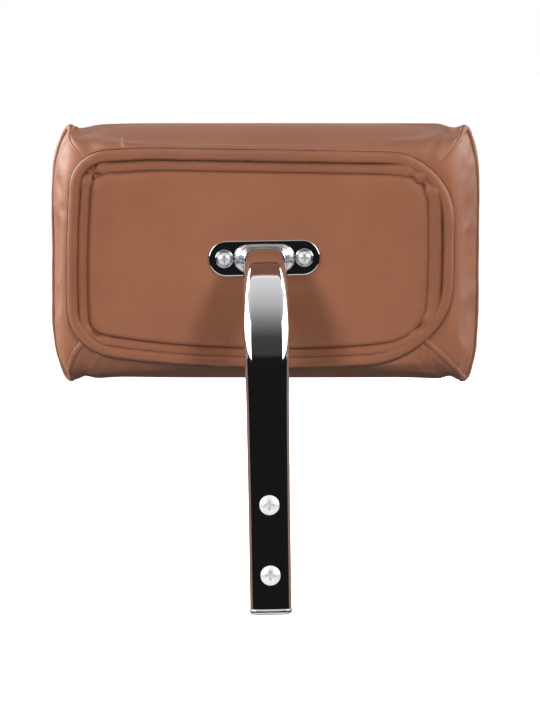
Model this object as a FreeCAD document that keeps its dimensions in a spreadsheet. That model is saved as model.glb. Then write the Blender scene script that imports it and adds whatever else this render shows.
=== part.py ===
"""Headrest attachment for a high-backed office chair.

A chromed flat-oval tube is screwed to the rear of the chair's back. Its upper end turns forward and
carries a welded plate, and the plate is bolted to the board inside an upholstered leather pillow.

Frame, in millimetres: the origin is midway between the two back screws, on the tube face that rests
on the chair's back. +X is to the right seen from behind, +Y points forward to the sitter, and +Z is up.
"""

import FreeCAD, Part
import math
import os
import re

import Sketcher
from FreeCAD import Placement, Rotation, Vector

# ---------------------------------------------------------------- driving dimensions, one sheet cell each

SIZES = {
    # support tube
    "tube_width": 30.0,  # flat-oval section, across the chair
    "tube_depth": 15.0,  # flat-oval section, front to back
    "tube_wall": 1.5,
    "bar_height": 193.5,  # from midway between the back screws up to the tube's forward stub
    "bend_radius": 75.0,  # at the tube's centreline
    "stub_straight": 2.0,  # straight tube between the bend and the weld
    "end_margin": 25.5,  # from the lower back screw to the tube's cut end
    "end_cap_height": 3.0,
    "end_cap_edge": 2.2,  # rounding of the cap's lower edge
    "plug_length": 14.0,  # how far the plug reaches into the tube
    "plug_clearance": 0.15,  # round the plug's ribs
    "rib_height": 1.2,  # of each rib, and how far it stands out of the plug's core
    "rib_start": 2.4,  # from the tube's end to the first rib
    "rib_spread": 8.4,  # from the first rib to the third
    # screws into the chair's back, with a sleeve round each inside the tube
    "screw_spacing": 50.0,
    "screw_size": 6.0,
    "screw_shank": 5.35,  # under the head, before the thread
    "thread_start": 0.3,  # how far in front of the tube the thread starts
    "screw_length": 40.0,
    "screw_head": 14.0,
    "screw_head_height": 3.6,
    "screw_clearance": 0.5,  # added to the size for every hole it passes
    "sleeve_wall": 1.75,
    # plate on the pillow and its bolts
    "plate_thickness": 4.0,
    "plate_edge": 1.2,  # rounding of the plate's rear edge
    "plate_end_margin": 11.5,  # from a bolt to the plate's end
    "bolt_spacing": 58.0,
    "bolt_size": 5.0,
    "bolt_shank": 4.5,
    "bolt_reach": 2.1,  # of its end beyond the board
    "bolt_head": 9.5,
    "bolt_head_height": 3.7,
    "bolt_clearance": 0.5,
    "washer_size": 12.5,
    "washer_thickness": 1.2,
    "lock_washer_size": 9.0,
    "lock_washer_thickness": 1.3,
    "lock_washer_gap": 1.0,
    "weld_leg": 4.5,
    "weld_margin": 1.0,  # plate left clear beyond the weld
    # shape of every screw: shares of its head, and of its size for the tip
    "dome_rim": 0.3,  # height of the head's straight rim
    "tip_chamfer": 0.12,
    "recess_span": 0.52,
    "recess_slot": 0.12,
    "recess_depth": 0.55,  # share of the head's height
    # tee nuts
    "nut_flange": 17.0,
    "nut_flange_thickness": 1.5,
    "nut_barrel": 7.0,
    "nut_barrel_length": 9.0,
    "nut_bore_clearance": 0.1,
    "prong_circle": 6.0,  # radius at which the prongs stand
    "prong_width": 2.6,
    "prong_thickness": 1.0,
    "prong_length": 6.0,
    "nut_fit": 0.2,  # round the barrel and the prongs in the board
    "bolt_room": 2.0,  # round and beyond a bolt's end in the foam
    # upholstered rear panel
    "panel_width": 250.0,
    "panel_height": 131.0,
    "panel_corner": 20.0,
    "leather": 1.2,
    "panel_padding": 3.0,
    "panel_board": 3.0,
    "staple_room": 1.0,  # gap between the rear panel and the hem
    "welt_radius": 1.8,
    "rim_proud": 3.0,  # how far the rim stands behind the rear panel
    "rear_drop": 4.0,  # from the plate's middle down to the middle of the rear panel, rim and board
    "roll_gap": 0.15,  # between panel, welt and rim
    "piping_skin": 1.0,  # leather round the welt's and the rim's cord
    # pillow
    "pillow_width": 320.0,
    "pillow_height": 196.0,
    "pillow_depth": 98.0,  # from the rear panel to the front
    "pillow_corner": 34.0,
    "shoulder_inset": 4.0,  # how far the shoulder lies inside the widest outline
    "shoulder_share": 0.38,  # of the depth, from the hem
    "seam_share": 0.66,  # of the depth, from the hem: where the pillow is widest
    "front_inset": 29.0,
    "gusset_inset": 7.0,
    "wadding": 4.0,
    # board, hem and the fixings of the rear panel
    "board_thickness": 12.0,
    "board_inset": 12.0,  # inside the rim's outline
    "hem_width": 22.0,
    "staple_pitch": 34.0,
    "staple_crown": 10.0,
    "staple_wire": 0.7,
    "staple_leg": 8.0,
    "clip_inset": 14.0,  # from the hem's opening
    "clip_stem": 5.0,
    "clip_head": 12.0,
    "clip_head_thickness": 1.0,
    "clip_reach": 9.0,  # into the board
    "clip_fin": 0.9,  # how far a fin stands out of the stem
    "clip_fin_start": 1.4,  # from the board's rear to the first fin
    "clip_fin_thickness": 0.9,
    "clip_fin_spread": 5.4,  # from the first fin to the third
    "clip_clearance": 0.15,
}

# ---------------------------------------------------------------- values worked out from them

DERIVED = {
    "tube_end_z": "-(screw_spacing / 2 + end_margin)",
    "bend_z": "bar_height - bend_radius",
    "bend_y": "bend_radius - tube_depth / 2",
    "plate_y": "bend_y + stub_straight + weld_leg",  # rear face of the plate
    "panel_y": "plate_y + plate_thickness",  # rear face of the pillow's rear panel
    "plate_height": "tube_depth + 2 * (weld_leg + weld_margin)",
    "plate_length": "bolt_spacing + 2 * plate_end_margin",
    "bolt_seat_y": "plate_y - washer_thickness - lock_washer_thickness",
    "screw_hole": "screw_size + screw_clearance",
    "bolt_hole": "bolt_size + bolt_clearance",
    "panel_front_y": "panel_y + leather + panel_padding + panel_board",
    "hem_y": "panel_front_y + staple_room",
    "board_y": "hem_y + leather",
    "board_front_y": "board_y + board_thickness",
    "bolt_length": "board_front_y + bolt_reach - bolt_seat_y",
    "front_y": "panel_y + pillow_depth",
    "rim_radius": "(hem_y - roll_gap - panel_y + rim_proud) / 2",
    "welt_offset": "roll_gap + welt_radius",  # from the panel's edge to the welt's centreline
    "rim_offset": "welt_offset + welt_radius + roll_gap + rim_radius",
    "rear_offset": "rim_offset + rim_radius",
    "rear_z": "bar_height - rear_drop",
    "rear_width": "panel_width + 2 * rear_offset",
    "rear_height": "panel_height + 2 * rear_offset",
    "rear_corner": "panel_corner + rear_offset",
    "shoulder_y": "hem_y + shoulder_share * (front_y - hem_y)",
    "seam_y": "hem_y + seam_share * (front_y - hem_y)",
    "board_width": "rear_width - 2 * board_inset",
    "board_height": "rear_height - 2 * board_inset",
    "board_corner": "rear_corner - board_inset",
    "opening_width": "board_width - 2 * hem_width",
    "opening_height": "board_height - 2 * hem_width",
    "clip_x": "opening_width / 2 - clip_inset",
    "clip_z": "opening_height / 2 - clip_inset",
    "clip_hole": "clip_stem + 2 * clip_clearance",
    "clip_board_hole": "clip_stem + 2 * clip_fin + 2 * clip_clearance",
}

# The pillow's outlines from rear to front: name, place along Y, width, height, corner radius.
STATIONS = (
    ("rear", "hem_y", "rear_width", "rear_height", "rear_corner"),
    (
        "shoulder",
        "shoulder_y",
        "pillow_width - 2 * shoulder_inset",
        "pillow_height - 2 * shoulder_inset",
        "pillow_corner",
    ),
    ("seam", "seam_y", "pillow_width", "pillow_height", "pillow_corner"),
    (
        "front",
        "front_y",
        "pillow_width - 2 * front_inset",
        "pillow_height - 2 * front_inset",
        "pillow_corner",
    ),
)

SAME_PLACE = 1e-4  # edges closer than this to a plane lie in it
EDGE_MARGIN = 0.01  # round the weld's inner edges when they are picked
LEAST_GROWTH = 1e-6  # mm3 that every feature has to add or remove

doc = FreeCAD.newDocument("headrest_attachment")
sheet = doc.addObject("Spreadsheet::Sheet", "Sizes")


def fill_sheet():
    """Writes one row for each driving dimension: its name, and its value with that name as alias."""
    for row, (name, size) in enumerate(SIZES.items(), start=1):
        sheet.set(f"A{row}", name)
        sheet.set(f"B{row}", str(size))
        sheet.setAlias(f"B{row}", name)
    doc.recompute()


# ---------------------------------------------------------------- formulas


def full(formula):
    """The formula with each size as a cell of the sheet and each worked-out value written out."""

    def spelled(match):
        word = match.group(0)
        if word in SIZES:
            return "Sizes." + word
        return f"({full(DERIVED[word])})" if word in DERIVED else word

    return re.sub(r"[a-z][a-z0-9_]*", spelled, formula)


def number(formula):
    """What the formula comes to now."""
    return float(sheet.evalExpression(full(formula)))


def bind(thing, place, formula):
    """Ties a property, or part of one, to the sheet."""
    thing.setExpression(place, full(formula))


# ---------------------------------------------------------------- sketches


def sketch_on(body, plane, name, offsets):
    """A sketch on one of the body's origin planes, moved along that plane's own three axes."""
    sketch = body.newObject("Sketcher::SketchObject", name)
    wanted = [f for f in body.Origin.OriginFeatures if f.Role == plane]
    sketch.AttachmentSupport = [(wanted[0], "")]
    sketch.MapMode = "FlatFace"
    for axis, formula in zip("xyz", offsets):
        bind(sketch, f".AttachmentOffset.Base.{axis}", formula)
    return sketch


def facing_back(body, name, y, x="0", z="bar_height"):
    """A sketch seen from behind the chair: its axes are +X and +Z, and it lies at depth y."""
    return sketch_on(body, "XZ_Plane", name, (x, z, f"-({y})"))


def facing_up(body, name, z, y="-tube_depth / 2"):
    """A sketch seen from above: its axes are +X and +Y."""
    return sketch_on(body, "XY_Plane", name, ("0", y, z))


def facing_right(body, name, x="0", y="0", z="0"):
    """A sketch seen from the right: its axes are +Y and +Z."""
    return sketch_on(body, "YZ_Plane", name, (y, z, x))


def fix(sketch, kind, *where, to):
    """Adds a constraint whose size is a formula."""
    index = sketch.addConstraint(Sketcher.Constraint(kind, *where, number(to)))
    sketch.setExpression(f"Constraints[{index}]", full(to))


def join(sketch, kind, *where):
    """Adds a constraint without a size."""
    sketch.addConstraint(Sketcher.Constraint(kind, *where))


def circle(sketch, diameter, x="0", y="0"):
    """A circle at (x, y) of the sketch."""
    centre = Vector(number(x), number(y), 0)
    ring = sketch.addGeometry(Part.Circle(centre, Vector(0, 0, 1), number(diameter) / 2), False)
    fix(sketch, "Diameter", ring, to=diameter)
    fix(sketch, "DistanceX", ring, 3, to=x)
    fix(sketch, "DistanceY", ring, 3, to=y)


def polygon(sketch, corners):
    """A closed outline through corners given as pairs of formulas."""
    points = [Vector(number(x), number(y), 0) for x, y in corners]
    sides = [
        sketch.addGeometry(Part.LineSegment(a, b), False)
        for a, b in zip(points, points[1:] + points[:1])
    ]
    for side, following, (x, y) in zip(sides, sides[1:] + sides[:1], corners):
        join(sketch, "Coincident", side, 2, following, 1)
        fix(sketch, "DistanceX", side, 1, to=x)
        fix(sketch, "DistanceY", side, 1, to=y)


def rectangle(sketch, x, y, width, height):
    """A rectangle centred on (x, y) of the sketch."""
    left, right = f"({x}) - ({width}) / 2", f"({x}) + ({width}) / 2"
    low, high = f"({y}) - ({height}) / 2", f"({y}) + ({height}) / 2"
    polygon(sketch, ((left, low), (right, low), (right, high), (left, high)))


def rounded_rectangle(sketch, width, height, radius):
    """A rectangle with round corners, centred on the sketch's origin."""
    w, t, r = number(width) / 2, number(height) / 2, number(radius)
    ends = (
        (Vector(-w + r, -t, 0), Vector(w - r, -t, 0)),
        (Vector(w, -t + r, 0), Vector(w, t - r, 0)),
        (Vector(w - r, t, 0), Vector(-w + r, t, 0)),
        (Vector(-w, t - r, 0), Vector(-w, -t + r, 0)),
    )
    middles = ((w - r, r - t), (w - r, t - r), (r - w, t - r), (r - w, r - t))
    sides = [sketch.addGeometry(Part.LineSegment(a, b), False) for a, b in ends]
    bends = []
    for quarter, (x, y) in enumerate(middles, start=-1):
        ring = Part.Circle(Vector(x, y, 0), Vector(0, 0, 1), r)
        bend = Part.ArcOfCircle(ring, quarter * math.pi / 2, (quarter + 1) * math.pi / 2)
        bends.append(sketch.addGeometry(bend, False))
    for side, bend, following in zip(sides, bends, sides[1:] + sides[:1]):
        join(sketch, "Tangent", side, 2, bend, 1)
        join(sketch, "Tangent", bend, 2, following, 1)
    for side, kind in zip(sides, ("Horizontal", "Vertical", "Horizontal", "Vertical")):
        join(sketch, kind, side)
    for bend in bends[1:]:
        join(sketch, "Equal", bends[0], bend)
    join(sketch, "Symmetric", sides[0], 1, sides[2], 1, -1, 1)
    fix(sketch, "Radius", bends[0], to=radius)
    fix(sketch, "DistanceX", sides[1], 1, to=f"({width}) / 2")
    fix(sketch, "DistanceY", sides[2], 1, to=f"({height}) / 2")


def flat_oval(sketch, width, depth):
    """Two straight sides along the first axis, joined by half circles and centred on the origin."""
    w, r = number(width) / 2, number(depth) / 2
    low = sketch.addGeometry(Part.LineSegment(Vector(r - w, -r, 0), Vector(w - r, -r, 0)), False)
    high = sketch.addGeometry(Part.LineSegment(Vector(w - r, r, 0), Vector(r - w, r, 0)), False)
    turns = []
    for x, start in ((w - r, -math.pi / 2), (r - w, math.pi / 2)):
        ring = Part.Circle(Vector(x, 0, 0), Vector(0, 0, 1), r)
        turns.append(sketch.addGeometry(Part.ArcOfCircle(ring, start, start + math.pi), False))
    for side, turn, following in ((low, turns[0], high), (high, turns[1], low)):
        join(sketch, "Tangent", side, 2, turn, 1)
        join(sketch, "Tangent", turn, 2, following, 1)
    join(sketch, "Equal", turns[0], turns[1])
    join(sketch, "Horizontal", low)
    join(sketch, "Symmetric", low, 1, high, 1, -1, 1)
    fix(sketch, "Radius", turns[0], to=f"({depth}) / 2")
    fix(sketch, "DistanceX", turns[0], 3, to=f"(({width}) - ({depth})) / 2")


# ---------------------------------------------------------------- features


def new_body(label):
    """A PartDesign body of that name."""
    body = doc.addObject("PartDesign::Body", label)
    body.Label = label
    return body


def check_growth(body, before, grows, feature):
    """Stops the build where a feature added or removed nothing."""
    doc.recompute()
    change = body.Shape.Volume - before
    if change * (1 if grows else -1) <= LEAST_GROWTH:
        raise ValueError(f"{body.Label}: {feature.Name} changed the volume by {change:.4f} mm3")


def volume_of(body):
    """The body's volume so far."""
    return body.Shape.Volume if body.Tip else 0.0


def pad(body, sketch, length, reverse=False):
    """Adds the sketch, pulled out by length. From a sketch that faces back, reverse goes forward."""
    before = volume_of(body)
    feature = body.newObject("PartDesign::Pad", f"{sketch.Name}_pad")
    feature.Profile = sketch
    feature.Reversed = reverse
    bind(feature, "Length", length)
    check_growth(body, before, True, feature)
    return feature


def pocket(body, sketch, depth=None, reverse=False):
    """Cuts the sketch to that depth, or right through both ways. A sketch that faces back cuts forward."""
    before = volume_of(body)
    feature = body.newObject("PartDesign::Pocket", f"{sketch.Name}_pocket")
    feature.Profile = sketch
    feature.Reversed = reverse
    if depth is None:
        feature.Type = "ThroughAll"
        feature.Midplane = True
    else:
        bind(feature, "Length", depth)
    check_growth(body, before, False, feature)
    return feature


def revolve(body, sketch):
    """Turns the sketch once round its own first axis."""
    before = volume_of(body)
    feature = body.newObject("PartDesign::Revolution", f"{sketch.Name}_revolution")
    feature.Profile = sketch
    feature.ReferenceAxis = (sketch, ["H_Axis"])
    feature.Angle = 360
    check_growth(body, before, True, feature)


def pipe(body, profile, path, add=True):
    """Sweeps the profile along the path, as added or removed material."""
    before = volume_of(body)
    kind = "AdditivePipe" if add else "SubtractivePipe"
    feature = body.newObject(f"PartDesign::{kind}", f"{profile.Name}_pipe")
    feature.Profile = profile
    feature.Spine = path
    check_growth(body, before, add, feature)


def loft(body, sketches, add=True):
    """Joins the sketches by straight lines, as added or removed material."""
    before = volume_of(body)
    kind = "AdditiveLoft" if add else "SubtractiveLoft"
    feature = body.newObject(f"PartDesign::{kind}", f"{sketches[0].Name}_loft")
    feature.Profile = sketches[0]
    feature.Sections = [(s, [""]) for s in sketches[1:]]
    feature.Ruled = True
    check_growth(body, before, add, feature)


def round_edges(body, radius, chosen):
    """Rounds the edges that chosen picks."""
    names = [f"Edge{n}" for n, edge in enumerate(body.Shape.Edges, start=1) if chosen(edge)]
    tip = body.Tip
    feature = body.newObject("PartDesign::Fillet", f"{tip.Name}_fillet")
    feature.Base = (tip, names)
    bind(feature, "Radius", radius)
    doc.recompute()


def pattern(body, kind, original, occurrences, **settings):
    """Repeats a feature."""
    feature = body.newObject(f"PartDesign::{kind}", f"{original.Name}_pattern")
    feature.Originals = [original]
    for name, setting in settings.items():
        setattr(feature, name, setting)
    feature.Occurrences = occurrences
    body.Tip = feature
    return feature


def lies_at(edge, axis, place):
    """Whether the whole edge lies in the plane where that axis has that value."""
    box = edge.BoundBox
    low, high = getattr(box, axis + "Min"), getattr(box, axis + "Max")
    return abs(low - place) < SAME_PLACE and abs(high - place) < SAME_PLACE


def combined(kind, label, base, tool):
    """A boolean of two objects, such as a cut or a common."""
    feature = doc.addObject(f"Part::{kind}", label)
    feature.Label = label
    feature.Base = base
    feature.Tool = tool
    doc.recompute()
    return feature


# ---------------------------------------------------------------- bracket


def support_tube():
    """The bent flat-oval tube, with the two cross holes for the back screws."""
    body = new_body("support_tube")
    path = facing_right(body, "tube_path")
    foot = Vector(number("-tube_depth / 2"), number("tube_end_z"), 0)
    bend = Vector(number("bend_y"), number("bend_z"), 0)
    radius = number("bend_radius")
    top = bend + Vector(0, radius, 0)
    end = Vector(number("plate_y"), top.y, 0)
    upright = path.addGeometry(Part.LineSegment(foot, bend - Vector(radius, 0, 0)), False)
    ring = Part.Circle(bend, Vector(0, 0, 1), radius)
    turn = path.addGeometry(Part.ArcOfCircle(ring, math.pi / 2, math.pi), False)
    stub = path.addGeometry(Part.LineSegment(top, end), False)
    join(path, "Tangent", upright, 2, turn, 2)
    join(path, "Tangent", turn, 1, stub, 1)
    join(path, "Vertical", upright)
    join(path, "Horizontal", stub)
    fix(path, "Radius", turn, to="bend_radius")
    fix(path, "DistanceX", upright, 1, to="-tube_depth / 2")
    fix(path, "DistanceY", upright, 1, to="tube_end_z")
    fix(path, "DistanceX", stub, 2, to="plate_y")
    fix(path, "DistanceY", stub, 2, to="bar_height")
    section = facing_up(body, "tube_section", "tube_end_z")
    flat_oval(section, "tube_width", "tube_depth")
    flat_oval(section, "tube_width - 2 * tube_wall", "tube_depth - 2 * tube_wall")
    pipe(body, section, path)
    holes = facing_back(body, "tube_holes", "-tube_depth / 2", z="0")
    for side in ("-", ""):
        circle(holes, "screw_hole", y=f"{side}screw_spacing / 2")
    pocket(body, holes)
    return body


def tube_end_plug():
    """The ribbed plug that closes the tube's lower end, with a cap that is flush with the tube."""
    body = new_body("tube_end_plug")
    cap = facing_up(body, "cap_outline", "tube_end_z")
    flat_oval(cap, "tube_width", "tube_depth")
    pad(body, cap, "end_cap_height", reverse=True)
    lower_edge = number("tube_end_z - end_cap_height")
    round_edges(body, "end_cap_edge", lambda edge: lies_at(edge, "Z", lower_edge))
    room = "2 * (tube_wall + plug_clearance + {})"
    core = facing_up(body, "plug_core", "tube_end_z")
    inset = room.format("rib_height")
    flat_oval(core, f"tube_width - {inset}", f"tube_depth - {inset}")
    pad(body, core, "plug_length")
    rib = facing_up(body, "plug_rib", "tube_end_z + rib_start")
    inset = room.format("0")
    flat_oval(rib, f"tube_width - {inset}", f"tube_depth - {inset}")
    first = pad(body, rib, "rib_height")
    ribs = pattern(body, "LinearPattern", first, 3, Direction=(rib, ["N_Axis"]))
    bind(ribs, "Length", "rib_spread")
    return body


def mounting_plate():
    """The plate with round ends that the tube is welded to."""
    body = new_body("mounting_plate")
    outline = facing_back(body, "plate_outline", "plate_y")
    flat_oval(outline, "plate_length", "plate_height")
    pad(body, outline, "plate_thickness", reverse=True)
    rear = number("plate_y")
    round_edges(body, "plate_edge", lambda edge: lies_at(edge, "Y", rear))
    holes = facing_back(body, "plate_holes", "plate_y")
    for side in ("-", ""):
        circle(holes, "bolt_hole", x=f"{side}bolt_spacing / 2")
    pocket(body, holes)
    return body


def weld_bead():
    """The hollow-faced weld between tube and plate, cut free of both."""
    body = new_body("weld_bead")
    spread = "2 * (weld_leg + weld_margin / 2)"
    base = facing_back(body, "weld_base", "plate_y")
    flat_oval(base, f"tube_width + {spread}", f"tube_depth + {spread}")
    pad(body, base, "plate_thickness", reverse=True)
    stub = facing_back(body, "weld_stub", "plate_y")
    flat_oval(stub, "tube_width", "tube_depth")
    pad(body, stub, "weld_leg + stub_straight / 2")
    corner = number("plate_y")
    reach = FreeCAD.BoundBox(0, corner, number("bar_height"), 0, corner, number("bar_height"))
    reach.enlarge(number("tube_width / 2") + EDGE_MARGIN)

    def inner(edge):
        half_depth = edge.BoundBox.ZMax - number("bar_height"), number("bar_height") - edge.BoundBox.ZMin
        near = max(half_depth) < number("tube_depth / 2") + EDGE_MARGIN
        return lies_at(edge, "Y", corner) and near and reach.isInside(edge.BoundBox)

    round_edges(body, "weld_leg", inner)
    pocket(body, facing_stub(body))
    slab = facing_back(body, "weld_underside", "plate_y")
    flat_oval(slab, f"tube_width + 2 * {spread}", f"tube_depth + 2 * {spread}")
    pocket(body, slab, "plate_thickness * 2")
    return body


def facing_stub(body):
    """The outline of the tube, as a sketch to cut its room out of the weld."""
    outline = facing_back(body, "weld_room", "plate_y")
    flat_oval(outline, "tube_width", "tube_depth")
    return outline


def ring_part(label, y, outer, inner, thickness, x="0", z="bar_height", gap=None):
    """A washer or sleeve whose rear face is at y. A gap splits it, as in a lock washer."""
    body = new_body(label)
    outline = facing_back(body, f"{label}_ring", y, x, z)
    circle(outline, outer)
    circle(outline, inner)
    pad(body, outline, thickness, reverse=True)
    if gap:
        slit = facing_back(body, f"{label}_slit", y, x, z)
        rectangle(slit, "0", f"({outer}) / 2", gap, outer)
        pocket(body, slit, thickness)
    return body


def screw(label, kind, seat_y, grip, x="0", z="bar_height"):
    """A screw that points forward: cross-recessed dome, reduced shank as long as grip, then the thread."""
    size, shank, length, head, head_height = (
        f"{kind}_{part}" for part in ("size", "shank", "length", "head", "head_height")
    )
    body = new_body(label)
    half = facing_right(body, f"{label}_half", x, seat_y, z)
    rim, tip = f"{head_height} * dome_rim", f"{size} * tip_chamfer"
    dome_top = Vector(-number(head_height), 0, 0)
    dome_rim = Vector(-number(rim), number(head) / 2, 0)
    corners = (
        (f"-({rim})", f"{head} / 2"),
        ("0", f"{head} / 2"),
        ("0", f"{shank} / 2"),
        (grip, f"{shank} / 2"),
        (grip, f"{size} / 2"),
        (f"{length} - {tip}", f"{size} / 2"),
        (length, f"{size} / 2 - {tip}"),
        (length, "0"),
        (f"-{head_height}", "0"),
    )
    points = [Vector(number(a), number(b), 0) for a, b in corners]
    sides = [half.addGeometry(Part.LineSegment(a, b), False) for a, b in zip(points, points[1:])]
    for side, (a, b) in zip(sides, corners):
        fix(half, "DistanceX", side, 1, to=a)
        fix(half, "DistanceY", side, 1, to=b)
    for side, following in zip(sides, sides[1:]):
        join(half, "Coincident", side, 2, following, 1)
    fix(half, "DistanceX", sides[-1], 2, to=corners[-1][0])
    fix(half, "DistanceY", sides[-1], 2, to="0")
    rise, run = dome_rim.y, dome_rim.x - dome_top.x
    radius = (rise * rise + run * run) / (2 * run)
    middle = Vector(dome_top.x + radius, 0, 0)
    ring = Part.Circle(middle, Vector(0, 0, 1), radius)
    opening = math.atan2(dome_rim.y, dome_rim.x - middle.x)
    dome = half.addGeometry(Part.ArcOfCircle(ring, opening, math.pi), False)
    join(half, "Coincident", dome, 1, sides[0], 1)
    join(half, "Coincident", dome, 2, sides[-1], 2)
    join(half, "PointOnObject", dome, 3, -1)
    revolve(body, half)
    recess = facing_back(body, f"{label}_cross", f"{seat_y} - {head_height}", x, z)
    arm, slot = f"{head} * recess_span / 2", f"{head} * recess_slot / 2"
    cross = (
        (arm, slot), (slot, slot), (slot, arm), (f"-{slot}", arm),
        (f"-{slot}", slot), (f"-{arm}", slot), (f"-{arm}", f"-{slot}"), (f"-{slot}", f"-{slot}"),
        (f"-{slot}", f"-{arm}"), (slot, f"-{arm}"), (slot, f"-{slot}"), (arm, f"-{slot}"),
    )
    polygon(recess, cross)
    pocket(body, recess, f"{head_height} * recess_depth")
    return body


def back_fixings():
    """Each screw into the chair's back, with the sleeve that keeps the tube from being crushed."""
    made = []
    for place, side in (("upper", ""), ("lower", "-")):
        z = f"{side}screw_spacing / 2"
        made += [
            ring_part(
                f"crush_sleeve_{place}", "tube_wall - tube_depth", "screw_hole + 2 * sleeve_wall",
                "screw_hole", "tube_depth - 2 * tube_wall", z=z,
            ),
            screw(f"back_screw_{place}", "screw", "-tube_depth", "tube_depth + thread_start", z=z),
        ]
    return made


def plate_fixings():
    """Each bolt through the plate, with its washers and the tee nut that it turns into."""
    made = []
    for place, side in (("left", "-"), ("right", "")):
        x = f"{side}bolt_spacing / 2"
        made += [
            ring_part(
                f"flat_washer_{place}", "plate_y - washer_thickness", "washer_size", "bolt_hole",
                "washer_thickness", x=x,
            ),
            ring_part(
                f"lock_washer_{place}", "bolt_seat_y", "lock_washer_size", "bolt_hole",
                "lock_washer_thickness", x=x, gap="lock_washer_gap",
            ),
            screw(f"plate_bolt_{place}", "bolt", "bolt_seat_y", "panel_y - bolt_seat_y", x=x),
            tee_nut(f"tee_nut_{place}", x),
        ]
    return made


def tee_nut(label, x):
    """A pronged nut, pulled into the front of the board."""
    body = new_body(label)
    flange = facing_back(body, f"{label}_flange", "board_front_y", x)
    circle(flange, "nut_flange")
    pad(body, flange, "nut_flange_thickness", reverse=True)
    barrel = facing_back(body, f"{label}_barrel", "board_front_y", x)
    circle(barrel, "nut_barrel")
    pad(body, barrel, "nut_barrel_length")
    bore = facing_back(body, f"{label}_bore", "board_front_y", x)
    circle(bore, "bolt_size + nut_bore_clearance")
    pocket(body, bore)
    prong = facing_back(body, f"{label}_prong", "board_front_y", x)
    rectangle(prong, "prong_circle", "0", "prong_thickness", "prong_width")
    first = pad(body, prong, "prong_length")
    pattern(body, "PolarPattern", first, 4, Axis=(prong, ["N_Axis"]), Angle=360)
    return body


# ---------------------------------------------------------------- pillow


def bolt_holes(body, y, diameter):
    """Cuts the bolts' two holes right through."""
    holes = facing_back(body, f"{body.Name}_holes", y)
    for side in ("-", ""):
        circle(holes, diameter, x=f"{side}bolt_spacing / 2")
    pocket(body, holes)


def clip_holes(body, y, diameter, depth=None):
    """Cuts the four holes for the rear panel's clips."""
    holes = facing_back(body, f"{body.Name}_clips", y, z="rear_z")
    for x in ("-clip_x", "clip_x"):
        for z in ("-clip_z", "clip_z"):
            circle(holes, diameter, x=x, y=z)
    pocket(body, holes, depth)


def slab(label, y, width, height, corner, thickness):
    """A rounded rectangle of some thickness in the pillow's rear, its rear face at y."""
    body = new_body(label)
    outline = facing_back(body, f"{label}_outline", y, z="rear_z")
    rounded_rectangle(outline, width, height, corner)
    pad(body, outline, thickness, reverse=True)
    return body


def main_board():
    """The plywood board that carries the pillow, with holes for the tee nuts' barrels and prongs."""
    body = slab("main_board", "board_y", "board_width", "board_height", "board_corner", "board_thickness")
    bolt_holes(body, "board_y", "nut_barrel + 2 * nut_fit")
    slots = facing_back(body, "prong_slots", "board_front_y")
    across, along = "prong_thickness + 2 * nut_fit", "prong_width + 2 * nut_fit"
    for side in ("-", ""):
        x = f"{side}bolt_spacing / 2"
        for way in ("-", ""):
            rectangle(slots, f"{x} + {way}prong_circle", "0", across, along)
            rectangle(slots, x, f"{way}prong_circle", along, across)
    pocket(body, slots, "prong_length + nut_fit", reverse=True)
    clip_holes(body, "board_y", "clip_board_hole", "clip_reach + clip_clearance")
    return body


def rear_panel():
    """The upholstered rear panel: a leather tray over padding over a thin board."""
    size = ("panel_width", "panel_height", "panel_corner")
    inner = [f"{s} - 2 * leather" for s in size[:2]] + ["panel_corner - leather"]
    cover = slab("panel_cover", "panel_y", *size, "panel_front_y - panel_y")
    hollow = facing_back(cover, "panel_hollow", "panel_y + leather", z="rear_z")
    rounded_rectangle(hollow, *inner)
    pocket(cover, hollow, "panel_padding + panel_board")
    padding = slab("panel_padding", "panel_y + leather", *inner, "panel_padding")
    board = slab("panel_board", "panel_front_y - panel_board", *inner, "panel_board")
    for body in (cover, padding, board):
        bolt_holes(body, "panel_y", "bolt_hole")
    clip_holes(board, "panel_front_y - panel_board", "clip_hole")
    heads = facing_back(board, "clip_heads", "panel_front_y - panel_board", z="rear_z")
    for x in ("-clip_x", "clip_x"):
        for z in ("-clip_z", "clip_z"):
            circle(heads, "clip_head + 2 * clip_clearance", x=x, y=z)
    pocket(board, heads, "clip_head_thickness")
    return [cover, padding, board]


def panel_clips():
    """The push-in clips that hold the rear panel to the board: head, stem and three fins."""
    made = []
    places = [(x, z) for z in ("clip_z", "-clip_z") for x in ("-clip_x", "clip_x")]
    for count, (x, z) in enumerate(places, start=1):
        body = new_body(f"panel_clip_{count}")
        head = facing_back(body, f"clip_{count}_head", "panel_front_y - panel_board", x, f"rear_z + {z}")
        circle(head, "clip_head")
        pad(body, head, "clip_head_thickness", reverse=True)
        stem = facing_back(body, f"clip_{count}_stem", "panel_front_y - panel_board", x, f"rear_z + {z}")
        circle(stem, "clip_stem")
        pad(body, stem, "panel_board + board_y - panel_front_y + clip_reach", reverse=True)
        fin = facing_back(body, f"clip_{count}_fin", "board_y + clip_fin_start", x, f"rear_z + {z}")
        circle(fin, "clip_stem + 2 * clip_fin")
        first = pad(body, fin, "clip_fin_thickness", reverse=True)
        fins = pattern(body, "LinearPattern", first, 3, Direction=(fin, ["N_Axis"]), Reversed=True)
        bind(fins, "Length", "clip_fin_spread")
        made.append(body)
    return made


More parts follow.
